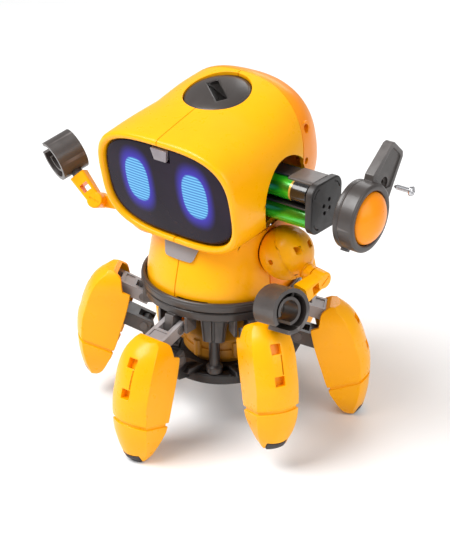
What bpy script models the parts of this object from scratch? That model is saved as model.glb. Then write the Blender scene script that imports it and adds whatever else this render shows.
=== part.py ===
"""Hexapod spider robot kit: a six-legged walking base that carries a turning torso, a big visored head
and two posable arms. Metres, +Z up, the robot looks along -Y, its own left is +X. The legs' hub is the
Z axis and the standing feet touch Z = 0."""

import math

import bmesh
import bpy
from mathutils import Matrix, Vector

MM = 0.001
GAP = 0.3  # running or resting gap between neighbouring solids, mm (all sizes below are in mm)

# ---- driving dimensions, mm ---------------------------------------------------------------------
FRAME_RADIUS, FRAME_BOTTOM, FRAME_TOP = 40.0, 68.8, 74.0
RING_RADIUS, RING_TOP, RING_WALL = 41.0, 79.3, 2.2
PLATE_RADIUS, PLATE_BOTTOM, PLATE_TOP = 30.0, 27.0, 33.0
COLUMN_RADIUS, GEARBOX_RADIUS, GEARBOX_TOP = 12.0, 20.0, 52.0
POST_RADIUS, POST_ORBIT, BOSS_BOTTOM = 2.8, 26.0, 52.0

HUB_AT = (2.094, 0.568)  # the hub's axis in the finished frame
LEG_COUNT = 6
LINK_PIVOT = (40.0, 62.0)  # radius and height of the upper link's inner pin
LINK_LENGTH, LINK_LOW, LINK_HIGH = 20.0, -14.0, 24.0  # length, and its slope down and up, degrees
PIN_SPACING = 17.0  # between the shell's two pins, and between the two inner pins
PIN_RADIUS, PIN_HOLE = 1.5, 1.85
FOOT_RADIUS = 70.0  # a standing foot's distance from the hub's axis
SHELL_HALF_WIDTH, SHELL_WALL = 11.0, 1.8

TORSO_BOTTOM, TORSO_WALL = 76.3, 2.0
HEAD_CENTRE, HEAD_TILT = (0.0, -1.5, 132.0), 12.0  # on the ears' axis; the head looks 12 degrees down
HEAD_WALL, HEAD_RIM, HEAD_FACE, HEAD_BACK, HEAD_SPLIT = 2.2, 3.6, 40.0, -49.0, -14.0
SPLIT_LEAN = 0.32  # how far the rear seam leans back towards the crown, per unit of height
EYE_UP = 1.5
FACE_UP = 11.5  # height of the face's centre over the ears' axis
CROWN_AT, CROWN_RADIUS = -7.0, 16.5  # along the head's own axis, and the cap's radius
SLOT_TURN = -52.0  # the cap's slot against the head's own axis, degrees
EAR_CENTRE, EAR_RADIUS, EAR_DEPTH = (-1.5, 132.0), 16.5, 10.5  # (y, z), and the drum's size
EAR_SEAT, EAR_OUT, CELL_TRAVEL = 41.5, 36.0, 22.5  # drum's seat at X, and how far ear and tray are drawn
RIGHT_FIN_TURN = -35.0  # the right ear's fin lies further back
SCREW_AXIS, SCREW_TRAVEL = (15.0, 143.0), 51.0
BOSS_AT = (34.5, 18.0, 158.0)  # the closed head's side screw boss
CELL_RADIUS, CELL_LENGTH = 5.25, 44.5  # an AAA cell
TRAY_HALF, TRAY_LENGTH = 12.6, 52.0
SHOULDER = (42.5, -3.5, 101.6)
LEFT_ELBOW, LEFT_HAND = (61.0, -4.5, 95.2), (56.6, -29.8, 88.0)
RIGHT_ELBOW, RIGHT_HAND = (-70.0, -15.0, 102.5), (-92.0, -14.0, 122.0)
HAND_RADIUS, HAND_BORE, HAND_LENGTH = 11.0, 5.0, 15.0

COLOURS = {
    "yellow_plastic": ((0.95, 0.50, 0.01), 0.35, 0.0),
    "orange_plastic": ((0.90, 0.30, 0.01), 0.38, 0.0),
    "dark_plastic": ((0.075, 0.065, 0.062), 0.45, 0.0),
    "grey_plastic": ((0.42, 0.39, 0.39), 0.45, 0.0),
    "visor_plastic": ((0.012, 0.009, 0.014), 0.12, 0.0),
    "eye_display": ((0.05, 0.30, 0.75), 0.30, 0.0),
    "rubber": ((0.035, 0.032, 0.032), 0.75, 0.0),
    "battery_green": ((0.02, 0.50, 0.02), 0.25, 0.3),
    "steel": ((0.60, 0.60, 0.62), 0.25, 1.0),
}


# ---- small tools --------------------------------------------------------------------------------
def clear_scene():
    for obj in list(bpy.data.objects):
        bpy.data.objects.remove(obj, do_unlink=True)


def material(name):
    found = bpy.data.materials.get(name)
    if found:
        return found
    colour, roughness, metallic = COLOURS[name]
    made = bpy.data.materials.new(name)
    made.use_nodes = True
    shader = made.node_tree.nodes["Principled BSDF"]
    shader.inputs["Base Color"].default_value = (*colour, 1.0)
    shader.inputs["Roughness"].default_value = roughness
    shader.inputs["Metallic"].default_value = metallic
    return made


def to_object(name, bm, slot, origin=(0, 0, 0), parent=None):
    """A named object from a bmesh in millimetres. Its origin goes to the given point."""
    bmesh.ops.translate(bm, verts=bm.verts, vec=-Vector(origin))
    bmesh.ops.scale(bm, verts=bm.verts, vec=(MM, MM, MM))
    bmesh.ops.recalc_face_normals(bm, faces=bm.faces)
    mesh = bpy.data.meshes.new(name)
    bm.to_mesh(mesh)
    bm.free()
    mesh.shade_smooth()
    mesh.set_sharp_from_angle(angle=math.radians(32))
    obj = bpy.data.objects.new(name, mesh)
    bpy.context.scene.collection.objects.link(obj)
    obj.location = Vector(origin) * MM
    obj.parent = parent
    if slot:
        mesh.materials.append(material(slot))
    else:
        obj.hide_render = True
        obj.display_type = "WIRE"
    return obj


def pivot(name, place, turn_y=0.0, turn_z=0.0, parent=None):
    """An empty that carries the pieces turning about it."""
    empty = bpy.data.objects.new(name, None)
    bpy.context.scene.collection.objects.link(empty)
    empty.location = Vector(place) * MM
    empty.rotation_euler = (0, math.radians(turn_y), math.radians(turn_z))
    empty.parent = parent
    return empty


def combine(obj, other, operation):
    modifier = obj.modifiers.new(operation.lower() + "_" + other.name, "BOOLEAN")
    modifier.operation = operation
    modifier.object = other
    modifier.solver = "EXACT"
    return obj


def add_loft(bm, loops):
    """Skins loops of equal length and closes both ends."""
    rows = [[bm.verts.new(Vector(p)) for p in loop] for loop in loops]
    count = len(rows[0])
    for low, high in zip(rows, rows[1:]):
        for i in range(count):
            j = (i + 1) % count
            bm.faces.new((low[i], low[j], high[j], high[i]))
    bm.faces.new(rows[0][::-1])
    bm.faces.new(rows[-1])


def loft(loops):
    bm = bmesh.new()
    add_loft(bm, loops)
    return bm


def turn_matrix(direction, about=0.0):
    """Takes +Z to the direction, after a turn about +Z."""
    aim = Vector(direction).to_track_quat("Z", "Y").to_matrix().to_4x4()
    return aim @ Matrix.Rotation(math.radians(about), 4, "Z")


def prism(outline, low, high, place=None):
    """Extrudes a flat (x, y) outline along Z, then places it."""
    bm = loft([[(x, y, h) for x, y in outline] for h in (low, high)])
    if place is not None:
        bm.transform(place)
    return bm


def circle(radius, steps=32, centre=(0, 0)):
    angles = [2 * math.pi * i / steps for i in range(steps)]
    return [(centre[0] + radius * math.cos(a), centre[1] + radius * math.sin(a)) for a in angles]


def rounded_square(half, corner, steps=4, half_y=None):
    half_y = half if half_y is None else half_y
    points = []
    for quarter in range(4):
        sx, sy = ((1, 1), (-1, 1), (-1, -1), (1, -1))[quarter]
        cx, cy = sx * (half - corner), sy * (half_y - corner)
        for i in range(steps + 1):
            a = math.radians(90 * quarter + 90 * i / steps)
            points.append((cx + corner * math.cos(a), cy + corner * math.sin(a)))
    return points


def arc_strip(inner, outer, start, end, steps):
    """A C-shaped outline between two radii."""
    angles = [math.radians(start + (end - start) * i / steps) for i in range(steps + 1)]
    out = [(outer * math.cos(a), outer * math.sin(a)) for a in angles]
    back = [(inner * math.cos(a), inner * math.sin(a)) for a in reversed(angles)]
    return out + back


def lathe(profile, steps=32):
    """Turns a closed (radius, height) outline about Z. Radii stay above zero."""
    rows = []
    bm = bmesh.new()
    for i in range(steps):
        a = 2 * math.pi * i / steps
        rows.append([bm.verts.new((r * math.cos(a), r * math.sin(a), h)) for r, h in profile])
    count = len(profile)
    for i in range(steps):
        here, after = rows[i], rows[(i + 1) % steps]
        for k in range(count):
            m = (k + 1) % count
            bm.faces.new((here[k], here[m], after[m], after[k]))
    return bm


def turned_solid(profile, steps=32):
    """Turns an open (radius, height) outline about Z and closes its two ends flat."""
    return loft([[(x, y, h) for x, y in circle(r, steps)] for r, h in profile])


def place_at(point, direction=(0, 0, 1), about=0.0):
    return Matrix.Translation(Vector(point)) @ turn_matrix(direction, about)


def cylinder(radius, start, end, steps=16):
    axis = Vector(end) - Vector(start)
    return prism(circle(radius, steps), 0.0, axis.length, place_at(start, axis))


def box(low, high):
    x0, y0, z0 = low
    x1, y1, z1 = high
    return prism([(x0, y0), (x1, y0), (x1, y1), (x0, y1)], z0, z1)


def blend(value, table):
    """Smooth reading of a table of (position, number) rows."""
    if value <= table[0][0]:
        return table[0][1]
    for (x0, y0), (x1, y1) in zip(table, table[1:]):
        if value <= x1:
            t = (value - x0) / (x1 - x0)
            return y0 + (y1 - y0) * t
    return table[-1][1]


# ---- walking base -------------------------------------------------------------------------------
def leg_azimuth(number):
    """Leg 1 points straight ahead, and the rest follow every 60 degrees round the hub."""
    return -90.0 + 60.0 * (number - 1)


def build_leg_frame():
    """The disc that stays with the legs: hinge lugs, two post bosses and the hollow drive column."""
    disc = lathe([(6.0, FRAME_BOTTOM), (FRAME_RADIUS, FRAME_BOTTOM), (FRAME_RADIUS, FRAME_TOP), (6.0, FRAME_TOP)], 36)
    frame = to_object("leg_frame", disc, "dark_plastic")
    wall = 2.0
    column = lathe([(COLUMN_RADIUS - wall, GEARBOX_TOP + GAP), (COLUMN_RADIUS, GEARBOX_TOP + GAP),
                    (COLUMN_RADIUS, FRAME_BOTTOM + 1), (COLUMN_RADIUS - wall, FRAME_BOTTOM + 1)], 20)
    combine(frame, to_object("column_body", column, None), "UNION")
    for number in range(1, LEG_COUNT + 1):
        axis = pivot(f"lug_{number}_axis", (0, 0, 0), turn_z=leg_azimuth(number))
        radius, height = LINK_PIVOT
        outline = [(radius - 5, FRAME_BOTTOM + 1), (radius - 5, height + 1), (radius - 2.5, height - 2.8),
                   (radius + 1.5, height - 3.0), (radius + 3.0, height), (radius + 2.6, FRAME_BOTTOM + 1)]
        lug = prism(outline, -2.6, 2.6, Matrix.Rotation(math.radians(90), 4, "X"))
        combine(frame, to_object(f"lug_{number}", lug, None, parent=axis), "UNION")
        hole = cylinder(PIN_HOLE, (radius, -4, height), (radius, 4, height), 10)
        combine(frame, to_object(f"lug_{number}_hole", hole, None, parent=axis), "DIFFERENCE")
    for side, azimuth in (("front", -60.0), ("rear", 120.0)):
        axis = pivot(f"{side}_boss_axis", (0, 0, 0), turn_z=azimuth)
        loops = [[(x, y, h) for x, y in rounded_square(half, 2.0, 3, wide)]
                 for half, wide, h in ((4.2, 5.5, BOSS_BOTTOM), (5.0, 7.0, FRAME_BOTTOM + 1))]
        boss = loft([[(x + POST_ORBIT, y, h) for x, y, h in loop] for loop in loops])
        combine(frame, to_object(f"{side}_boss", boss, None, parent=axis), "UNION")
    return frame


def build_gearbox():
    """The drive's round yellow housing between the column and the lower plate."""
    profile = [(GEARBOX_RADIUS - 3, PLATE_TOP + GAP), (GEARBOX_RADIUS, PLATE_TOP + 4),
               (GEARBOX_RADIUS, GEARBOX_TOP - 5), (COLUMN_RADIUS + 0.5, GEARBOX_TOP)]
    return to_object("gearbox_housing", turned_solid(profile, 24), "orange_plastic")


def build_lower_plate():
    """The round bottom plate with an upright lug for each lower arm."""
    plate = to_object(
        "lower_plate",
        turned_solid([(PLATE_RADIUS - 1.5, PLATE_BOTTOM), (PLATE_RADIUS, PLATE_BOTTOM + 1.5),
                      (PLATE_RADIUS, PLATE_TOP)], 36),
        "dark_plastic")
    inner = Vector((LINK_PIVOT[0], LINK_PIVOT[1] - PIN_SPACING))
    for number in range(1, LEG_COUNT + 1):
        axis = pivot(f"plate_lug_{number}_axis", (0, 0, 0), turn_z=leg_azimuth(number))
        top = inner.y + 3.2
        outline = [(22.0, PLATE_TOP - 2.2), (27.5, PLATE_TOP - 4.3), (inner.x - 2, PLATE_TOP - 1.6), (inner.x + 3.0, inner.y - 3),
                   (inner.x + 3.2, inner.y), (inner.x + 1.8, top - 0.8), (inner.x - 0.8, top),
                   (inner.x - 2.8, top - 0.8), (inner.x - 4, inner.y - 4), (24.0, PLATE_TOP + 3)]
        lug = prism(outline, -2.6, 2.6, Matrix.Rotation(math.radians(90), 4, "X"))
        combine(plate, to_object(f"plate_lug_{number}", lug, None, parent=axis), "UNION")
        hole = cylinder(PIN_HOLE, (inner.x, -4, inner.y), (inner.x, 4, inner.y), 10)
        combine(plate, to_object(f"plate_lug_{number}_hole", hole, None, parent=axis), "DIFFERENCE")
    return plate


def build_post(name, azimuth):
    """A collared post that ties the lower plate to the leg frame."""
    profile = [(POST_RADIUS + 1.4, PLATE_TOP + GAP), (POST_RADIUS + 1.4, PLATE_TOP + 3.5),
               (POST_RADIUS, PLATE_TOP + 4.2), (POST_RADIUS, BOSS_BOTTOM - GAP)]
    bm = turned_solid(profile, 10)
    a = math.radians(azimuth)
    bm.transform(Matrix.Translation((POST_ORBIT * math.cos(a), POST_ORBIT * math.sin(a), 0)))
    return to_object(name, bm, "dark_plastic")


# ---- legs ---------------------------------------------------------------------------------------
# The shell's inner and outer edges, and its half widths, against height above the sole.
SHELL_INNER = [(0.9, -2.6), (2.5, -5.0), (6.5, -7.7), (10.0, -9.0), (30.0, -15.8), (50.0, -22.8), (51.6, -23.0),
               (53.2, -19.2), (60.0, -18.2), (63.6, -14.0)]
SHELL_OUTER = [(0.9, 2.4), (2.5, 3.9), (6.5, 5.6), (12.0, 6.9), (17.0, 7.6), (25.0, 7.8), (34.0, 7.2), (42.0, 5.2),
               (48.0, 3.4), (55.0, 0.2), (59.5, -3.2), (62.0, -6.4), (63.6, -9.4)]
SHELL_WIDTH = [(0.9, 6.0), (2.5, 7.0), (6.5, 8.6), (12.0, 10.0), (18.0, 10.8), (26.0, 11.0), (48.0, 11.0),
               (54.0, 10.6), (59.0, 9.5), (62.0, 7.9), (63.6, 6.4)]
SHELL_HEIGHTS = (0.9, 2.5, 6.5, 12.0, 17.0, 21.1, 21.5, 23.1, 23.5, 34.0, 42.0, 49.5, 51.6, 53.2, 58.0, 61.5, 63.6)
GROOVE = (21.3, 23.3)
GROOVE_TILT = 0.35
TOE_HALF, TOE_TOP, TOE_REAR = 5.0, 5.0, -3.0  # the rubber tip between the side walls


def shell_tilt(height):
    """How much a section leans, steepest at the groove and level at both ends."""
    return GROOVE_TILT * min(1.0, max(0.0, height - 6.5) / 12.0) * min(1.0, max(0.0, 47.0 - height) / 20.0)


def shell_section(height, inset=0.0, open_inner=0.0):
    """Closed outline of the shell at one height: flat sides, chamfered shoulders and a narrow front."""
    groove = 0.9 if GROOVE[0] < height < GROOVE[1] and inset == 0.0 else 0.0
    trim = inset + groove
    rear = blend(height, SHELL_INNER) + (trim if not open_inner else -open_inner)
    front = blend(height, SHELL_OUTER) - trim
    half = blend(height, SHELL_WIDTH) - trim
    chamfer = min(5.5, 0.45 * (front - rear))
    nose = 0.55 * half
    tilt = shell_tilt(height)
    outline = [(rear, -half), (front - chamfer, -half), (front - 0.3 * chamfer, -0.84 * half), (front, -nose),
               (front, nose), (front - 0.3 * chamfer, 0.84 * half), (front - chamfer, half), (rear, half)]
    return [(x, y, height + tilt * x) for x, y in outline]


def build_leg(number):
    """Upper link, shell, rubber foot and lower arm of one leg, down or up."""
    raised = number % 2 == 0
    slope = LINK_HIGH if raised else LINK_LOW
    name = f"leg_{number}"
    axis = pivot(f"{name}_axis", (0, 0, 0), turn_z=leg_azimuth(number))
    radius, height = LINK_PIVOT
    link_axis = pivot(f"{name}_link_pin", (radius, 0, height), turn_y=-slope, parent=axis)
    shell_axis = pivot(f"{name}_shell_pin", (LINK_LENGTH, 0, 0), turn_y=slope, parent=link_axis)
    arm_axis = pivot(f"{name}_arm_pin", (radius, 0, height - PIN_SPACING), turn_y=-slope, parent=axis)
    build_upper_link(name, link_axis)
    build_shell(name, shell_axis)
    build_foot(name, shell_axis)
    build_lower_arm(name, arm_axis)


def fork_outline(near, far, length, root):
    """Plan view of a link whose inner end is a fork: near and far are its half widths."""
    slot = 3.1
    return [(-3.4, slot), (-3.4, near), (length, far), (length, -far), (-3.4, -near), (-3.4, -slot),
            (root, -slot), (root, slot)]


def build_upper_link(name, parent):
    """A flared box link, forked round the frame's lug, with a window near its outer end."""
    half = 3.2
    outline = fork_outline(5.6, 6.0, LINK_LENGTH + 2.1, 6.0)
    link = to_object(f"{name}_upper_link", prism(outline, -half, half), "grey_plastic", parent=parent)
    window = box((LINK_LENGTH - 5.6, -3.0, -half - 1), (LINK_LENGTH + 0.2, 3.0, half + 1))
    combine(link, to_object(f"{name}_link_window", window, None, parent=parent), "DIFFERENCE")
    pin = cylinder(PIN_RADIUS, (0, -4.2, 0), (0, 4.2, 0), 8)
    combine(link, to_object(f"{name}_link_pin_bar", pin, None, parent=parent), "UNION")
    cross = cylinder(PIN_RADIUS + 0.35, (LINK_LENGTH, -9.5, 0), (LINK_LENGTH, 9.5, 0), 10)
    combine(link, to_object(f"{name}_link_outer_hole", cross, None, parent=parent), "DIFFERENCE")
    return link


def shell_shift():
    """Where the sole's centre sits from the shell's upper pin, leg down."""
    radius, height = LINK_PIVOT
    a = math.radians(LINK_LOW)
    return Vector((FOOT_RADIUS - radius - LINK_LENGTH * math.cos(a), 0, -height - LINK_LENGTH * math.sin(a)))


def build_shell(name, parent):
    """The yellow claw: a hull open towards the hub, with the two pins that carry it."""
    shift = Matrix.Translation(shell_shift())
    hull = loft([shell_section(h) for h in SHELL_HEIGHTS])
    hull.transform(shift)
    shell = to_object(f"{name}_shell", hull, "yellow_plastic", parent=parent)
    heights = (10.5, 19.0, 34.0, 46.0, 53.0, 58.0, 62.0)
    hollow = loft([shell_section(h, SHELL_WALL, 12.0) for h in heights])
    hollow.transform(shift)
    combine(shell, to_object(f"{name}_shell_hollow", hollow, None, parent=parent), "DIFFERENCE")
    reach = SHELL_HALF_WIDTH - 0.6
    for label, drop in (("upper", 0.0), ("lower", PIN_SPACING)):
        pin = cylinder(PIN_RADIUS, (0, -reach, -drop), (0, reach, -drop), 8)
        combine(shell, to_object(f"{name}_{label}_shell_pin", pin, None, parent=parent), "UNION")
    for level in (40.5, 55.0):
        front = blend(level, SHELL_OUTER)
        window = box((front - 6, -2.4, level - 2.4), (front + 6, 2.4, level + 2.4))
        window.transform(shift)
        combine(shell, to_object(f"{name}_window_{level:.0f}", window, None, parent=parent), "DIFFERENCE")
    pocket = box((TOE_REAR - GAP, -TOE_HALF - GAP, -1.0), (12.0, TOE_HALF + GAP, TOE_TOP + GAP))
    pocket.transform(shift)
    combine(shell, to_object(f"{name}_toe_pocket", pocket, None, parent=parent), "DIFFERENCE")
    return shell


def build_foot(name, parent):
    """The dark rubber tip under the shell's outer face, with a small flat sole."""
    loops = []
    for height in (0.0, 0.9, 2.5, TOE_TOP):
        front = blend(max(height, 0.9), SHELL_OUTER) - (1.2 if height < 0.5 else -0.2)
        half = TOE_HALF - (0.8 if height < 0.5 else 0.0)
        rear = TOE_REAR + (0.8 if height < 0.5 else 0.0)
        outline = [(rear, -half), (front - 1.4, -half), (front, -0.5 * half), (front, 0.5 * half), (front - 1.4, half),
                   (rear, half)]
        loops.append([(x, y, height) for x, y in outline])
    tip = loft(loops)
    tip.transform(Matrix.Translation(shell_shift()))
    return to_object(f"{name}_foot", tip, "rubber", parent=parent)


def build_lower_arm(name, parent):
    """The tall dark arm from the plate's lug to the shell's lower pin."""
    outline = fork_outline(5.6, 6.6, LINK_LENGTH + 3.2, 5.0)
    arm = to_object(f"{name}_lower_arm", prism(outline, -3.9, 3.6), "dark_plastic", parent=parent)
    pin = cylinder(PIN_RADIUS, (0, -4.2, 0), (0, 4.2, 0), 8)
    combine(arm, to_object(f"{name}_arm_pin_bar", pin, None, parent=parent), "UNION")
    hole = cylinder(PIN_HOLE + 0.35, (LINK_LENGTH, -9.5, 0), (LINK_LENGTH, 9.5, 0), 10)
    combine(arm, to_object(f"{name}_arm_outer_hole", hole, None, parent=parent), "DIFFERENCE")
    return arm


# ---- head's own frame ---------------------------------------------------------------------------
def head_frame():
    """Columns: the head's left, its nose direction, its crown direction, and its centre."""
    tilt = math.radians(HEAD_TILT)
    nose = Vector((0, -math.cos(tilt), -math.sin(tilt)))
    crown = Vector((0, -math.sin(tilt), math.cos(tilt)))
    matrix = Matrix((Vector((1, 0, 0)), nose, crown)).transposed().to_4x4()
    matrix.translation = Vector(HEAD_CENTRE)
    return matrix


# The head's half width, crown and chin heights along its own axis.
HEAD_WIDTH = [(-49.0, 9.0), (-48.0, 14.5), (-45.0, 22.5), (-41.0, 29.0), (-35.0, 34.5), (-24.0, 39.0), (-12.0, 40.9),
              (0.0, 41.4), (20.0, 42.0), (40.0, 41.5)]
HEAD_CROWN = [(-49.0, 10.0), (-48.0, 16.5), (-45.0, 25.5), (-41.0, 33.0), (-35.0, 39.5), (-26.0, 43.8), (-14.0, 43.6),
              (4.0, 42.3), (20.0, 41.6), (40.0, 40.6)]
HEAD_CHIN = [(-49.0, -4.0), (-48.0, -8.0), (-45.0, -15.0), (-41.0, -20.0), (-35.0, -24.5), (-20.0, -28.0),
             (0.0, -27.0), (20.0, -23.0), (40.0, -17.6)]


def head_power(along):
    """The head's outline is squarer at the face than at the back."""
    return 2.5 + 0.7 * min(1.0, max(0.0, (along - 4.0) / 34.0))


def head_outline(angle, along, inset=0.0):
    """Side and height of the head's outline: angle 0 is the left side, 90 the crown."""
    crown, chin = blend(along, HEAD_CROWN), blend(along, HEAD_CHIN)
    width = blend(along, HEAD_WIDTH) - inset
    tall = (crown - chin) / 2 - inset
    power = 2.0 / head_power(along)
    c, s = math.cos(angle), math.sin(angle)
    side = width * math.copysign(abs(c) ** power, c)
    return side, (crown + chin) / 2 + tall * math.copysign(abs(s) ** power, s)


def head_point(angle, along, inset=0.0):
    """A point of the outline; sections near the rear seam lean back towards the crown."""
    lean = SPLIT_LEAN * max(0.0, 1.0 - abs(along - HEAD_SPLIT) / 28.0)
    _, up = head_outline(angle, along, inset)
    leant = along - lean * (up - 5.0)
    side, up = head_outline(angle, leant, inset)
    return side, leant, up


def head_arc(along, start, end, steps, inset=0.0):
    return [head_point(math.radians(start + (end - start) * i / steps), along, inset) for i in range(steps + 1)]


def head_half(start, end):
    """One half of the front shell: the outer and inner skins between chin and crown."""
    stations = (HEAD_FACE, 37.0, 34.0, 26.0, 18.0, 10.0, 3.0, -3.0, -9.0, HEAD_SPLIT)
    trim = 0.15
    loops = []
    for along in stations:
        wall = HEAD_RIM if along > 33 else HEAD_WALL
        outer = head_arc(along, start, end, 14)
        inner = head_arc(along, end, start, 14, wall)
        side = 1 if outer[7][0] > 0 else -1
        loops.append([(side * max(abs(x), trim), s, up) for x, s, up in outer + inner])
    bm = loft(loops)
    bm.transform(head_frame())
    return bm


def crown_cutter(radius, low, high):
    place = head_frame() @ Matrix.Translation((0, CROWN_AT, 0))
    return prism(circle(radius, 28), low, high, place)


def side_cutter(radius, low, high, centre=EAR_CENTRE, steps=28):
    return cylinder(radius, (low, *centre), (high, *centre), steps)


def build_head_shells():
    """Left and right front shells, cut for the crown cap and the two ears."""
    cap_hole = to_object("crown_hole", crown_cutter(CROWN_RADIUS + 0.3, 28, 52), None)
    for name, start, end, side in (("head_shell_left", -90.0, 90.0, 1), ("head_shell_right", 270.0, 90.0, -1)):
        shell = to_object(name, head_half(start, end), "yellow_plastic")
        combine(shell, cap_hole, "DIFFERENCE")
        hole = side_cutter(EAR_RADIUS + (2.0 if side > 0 else 0.4), side * 30.0, side * 60.0)
        combine(shell, to_object(f"{name}_ear_hole", hole, None), "DIFFERENCE")


def build_head_back():
    """The domed rear cover, with the sleeve that takes the ear cover's screw."""
    stations = (HEAD_SPLIT - GAP, -18.0, -23.0, -28.0, -32.0, -37.0, -41.0, -44.5, -47.0, HEAD_BACK)
    outer = loft([head_arc(s, 0, 345, 23) for s in stations])
    outer.transform(head_frame())
    back = to_object("head_back_cover", outer, "yellow_plastic")
    rows = (HEAD_SPLIT + 3, -18.0, -23.0, -28.0, -32.0, -37.0, -41.0, -44.5)
    hollow = loft([head_arc(s, 0, 345, 23, HEAD_WALL) for s in rows])
    hollow.transform(head_frame())
    combine(back, to_object("head_back_hollow", hollow, None), "DIFFERENCE")
    sleeve = side_cutter(3.6, BOSS_AT[0] - 8.0, BOSS_AT[0] + 2.5, BOSS_AT[1:], 16)
    combine(back, to_object("screw_sleeve", sleeve, None), "UNION")
    recess = side_cutter(2.1, BOSS_AT[0] - 2.0, BOSS_AT[0] + 6.0, BOSS_AT[1:], 12)
    combine(back, to_object("screw_sleeve_recess", recess, None), "DIFFERENCE")
    hole = side_cutter(1.6, 30.0, 46.0, SCREW_AXIS, 12)
    combine(back, to_object("cover_screw_hole", hole, None), "DIFFERENCE")
    ear_space = side_cutter(EAR_RADIUS + 0.4, -60.0, 60.0)
    combine(back, to_object("ear_space", ear_space, None), "DIFFERENCE")
    return back


def visor_outline(half_width, half_height, steps=32):
    power = 2.0 / 3.2
    points = []
    for i in range(steps):
        a = 2 * math.pi * i / steps
        c, s = math.cos(a), math.sin(a)
        points.append((half_width * math.copysign(abs(c) ** power, c), half_height * math.copysign(abs(s) ** power, s)))
    return points


def build_visor():
    """The dark lens that fills the face, with a lamp window at its brow."""
    rows = [(HEAD_FACE - 5.0, 37.3, 24.8), (HEAD_FACE - 2.0, 37.3, 24.8), (HEAD_FACE - 1.0, 36.3, 23.8)]
    visor = loft([[(x, s, FACE_UP + up) for x, up in visor_outline(a, b)] for s, a, b in rows])
    visor.transform(head_frame())
    lens = to_object("visor", visor, "visor_plastic")
    window = box((-5.2, HEAD_FACE - 3.0, FACE_UP + 17.6), (5.2, HEAD_FACE + 2, FACE_UP + 30.0))
    window.transform(head_frame())
    combine(lens, to_object("brow_window_cut", window, None), "DIFFERENCE")
    outline = [(-4.9, 24.1), (-3.6, 17.9), (3.6, 17.9), (4.9, 24.1)]
    sensor = loft([[(x, s, FACE_UP + up) for x, up in outline] for s in (HEAD_FACE - 2.7, HEAD_FACE - 0.5)])
    sensor.transform(head_frame())
    to_object("brow_sensor_window", sensor, "grey_plastic")


def build_eye_display():
    """The light board behind the visor, with one raised lamp block for each eye."""
    bm = prism(rounded_square(33.0, 8.0, 4, 19.0), -1.6, 0.0)
    bm.transform(Matrix.Rotation(math.radians(90), 4, "X"))
    bm.transform(Matrix.Translation((0, HEAD_FACE - 10.5, FACE_UP)))
    bm.transform(head_frame())
    board = to_object("eye_display", bm, "eye_display")
    for side in (-1, 1):
        lamp = prism(rounded_square(6.5, 5.0, 4, 11.0), -1.0, 3.0)
        lamp.transform(Matrix.Rotation(math.radians(90), 4, "X"))
        lamp.transform(Matrix.Translation((side * 17.5, HEAD_FACE - 8.9, FACE_UP + EYE_UP)))
        lamp.transform(head_frame())
        combine(board, to_object(f"lamp_{side}", lamp, None), "UNION")
    return board


def crown_turn():
    return head_frame() @ Matrix.Translation((0, CROWN_AT, 0)) @ Matrix.Rotation(math.radians(SLOT_TURN), 4, "Z")


def build_crown():
    """The domed cap on the crown, slotted for the sliding switch, and the switch's knob."""
    base = blend(CROWN_AT, HEAD_CROWN)
    profile = [(CROWN_RADIUS, base - 6.0), (CROWN_RADIUS, base - 2.4), (CROWN_RADIUS - 3.5, base - 0.5),
               (CROWN_RADIUS - 8.0, base + 0.6), (3.0, base + 1.1)]
    dome = turned_solid(profile, 28)
    dome.transform(crown_turn())
    cap = to_object("crown_cap", dome, "dark_plastic")
    slot = box((-2.6, -7.4, base - 4.0), (2.6, 7.4, base + 4.0))
    slot.transform(crown_turn())
    combine(cap, to_object("crown_slot", slot, None), "DIFFERENCE")
    knob = prism(rounded_square(2.2, 0.6, 2, 3.6), base - 3.7, base - 1.2)
    knob.transform(crown_turn() @ Matrix.Translation((0, -3.2, 0)))
    to_object("mode_switch_knob", knob, "visor_plastic", origin=crown_turn() @ Vector((0, -3.2, base - 2.5)))


# ---- ears, tray and screw -----------------------------------------------------------------------
FIN = [(4.5, 13.9), (6.0, 18.5), (20.5, 29.3), (23.0, 29.6), (31.0, 22.6), (31.2, 20.0), (18.0, -2.0), (14.4, -2.2),
       (14.1, 3.8), (11.5, 8.8), (8.3, 12.0)]


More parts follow.
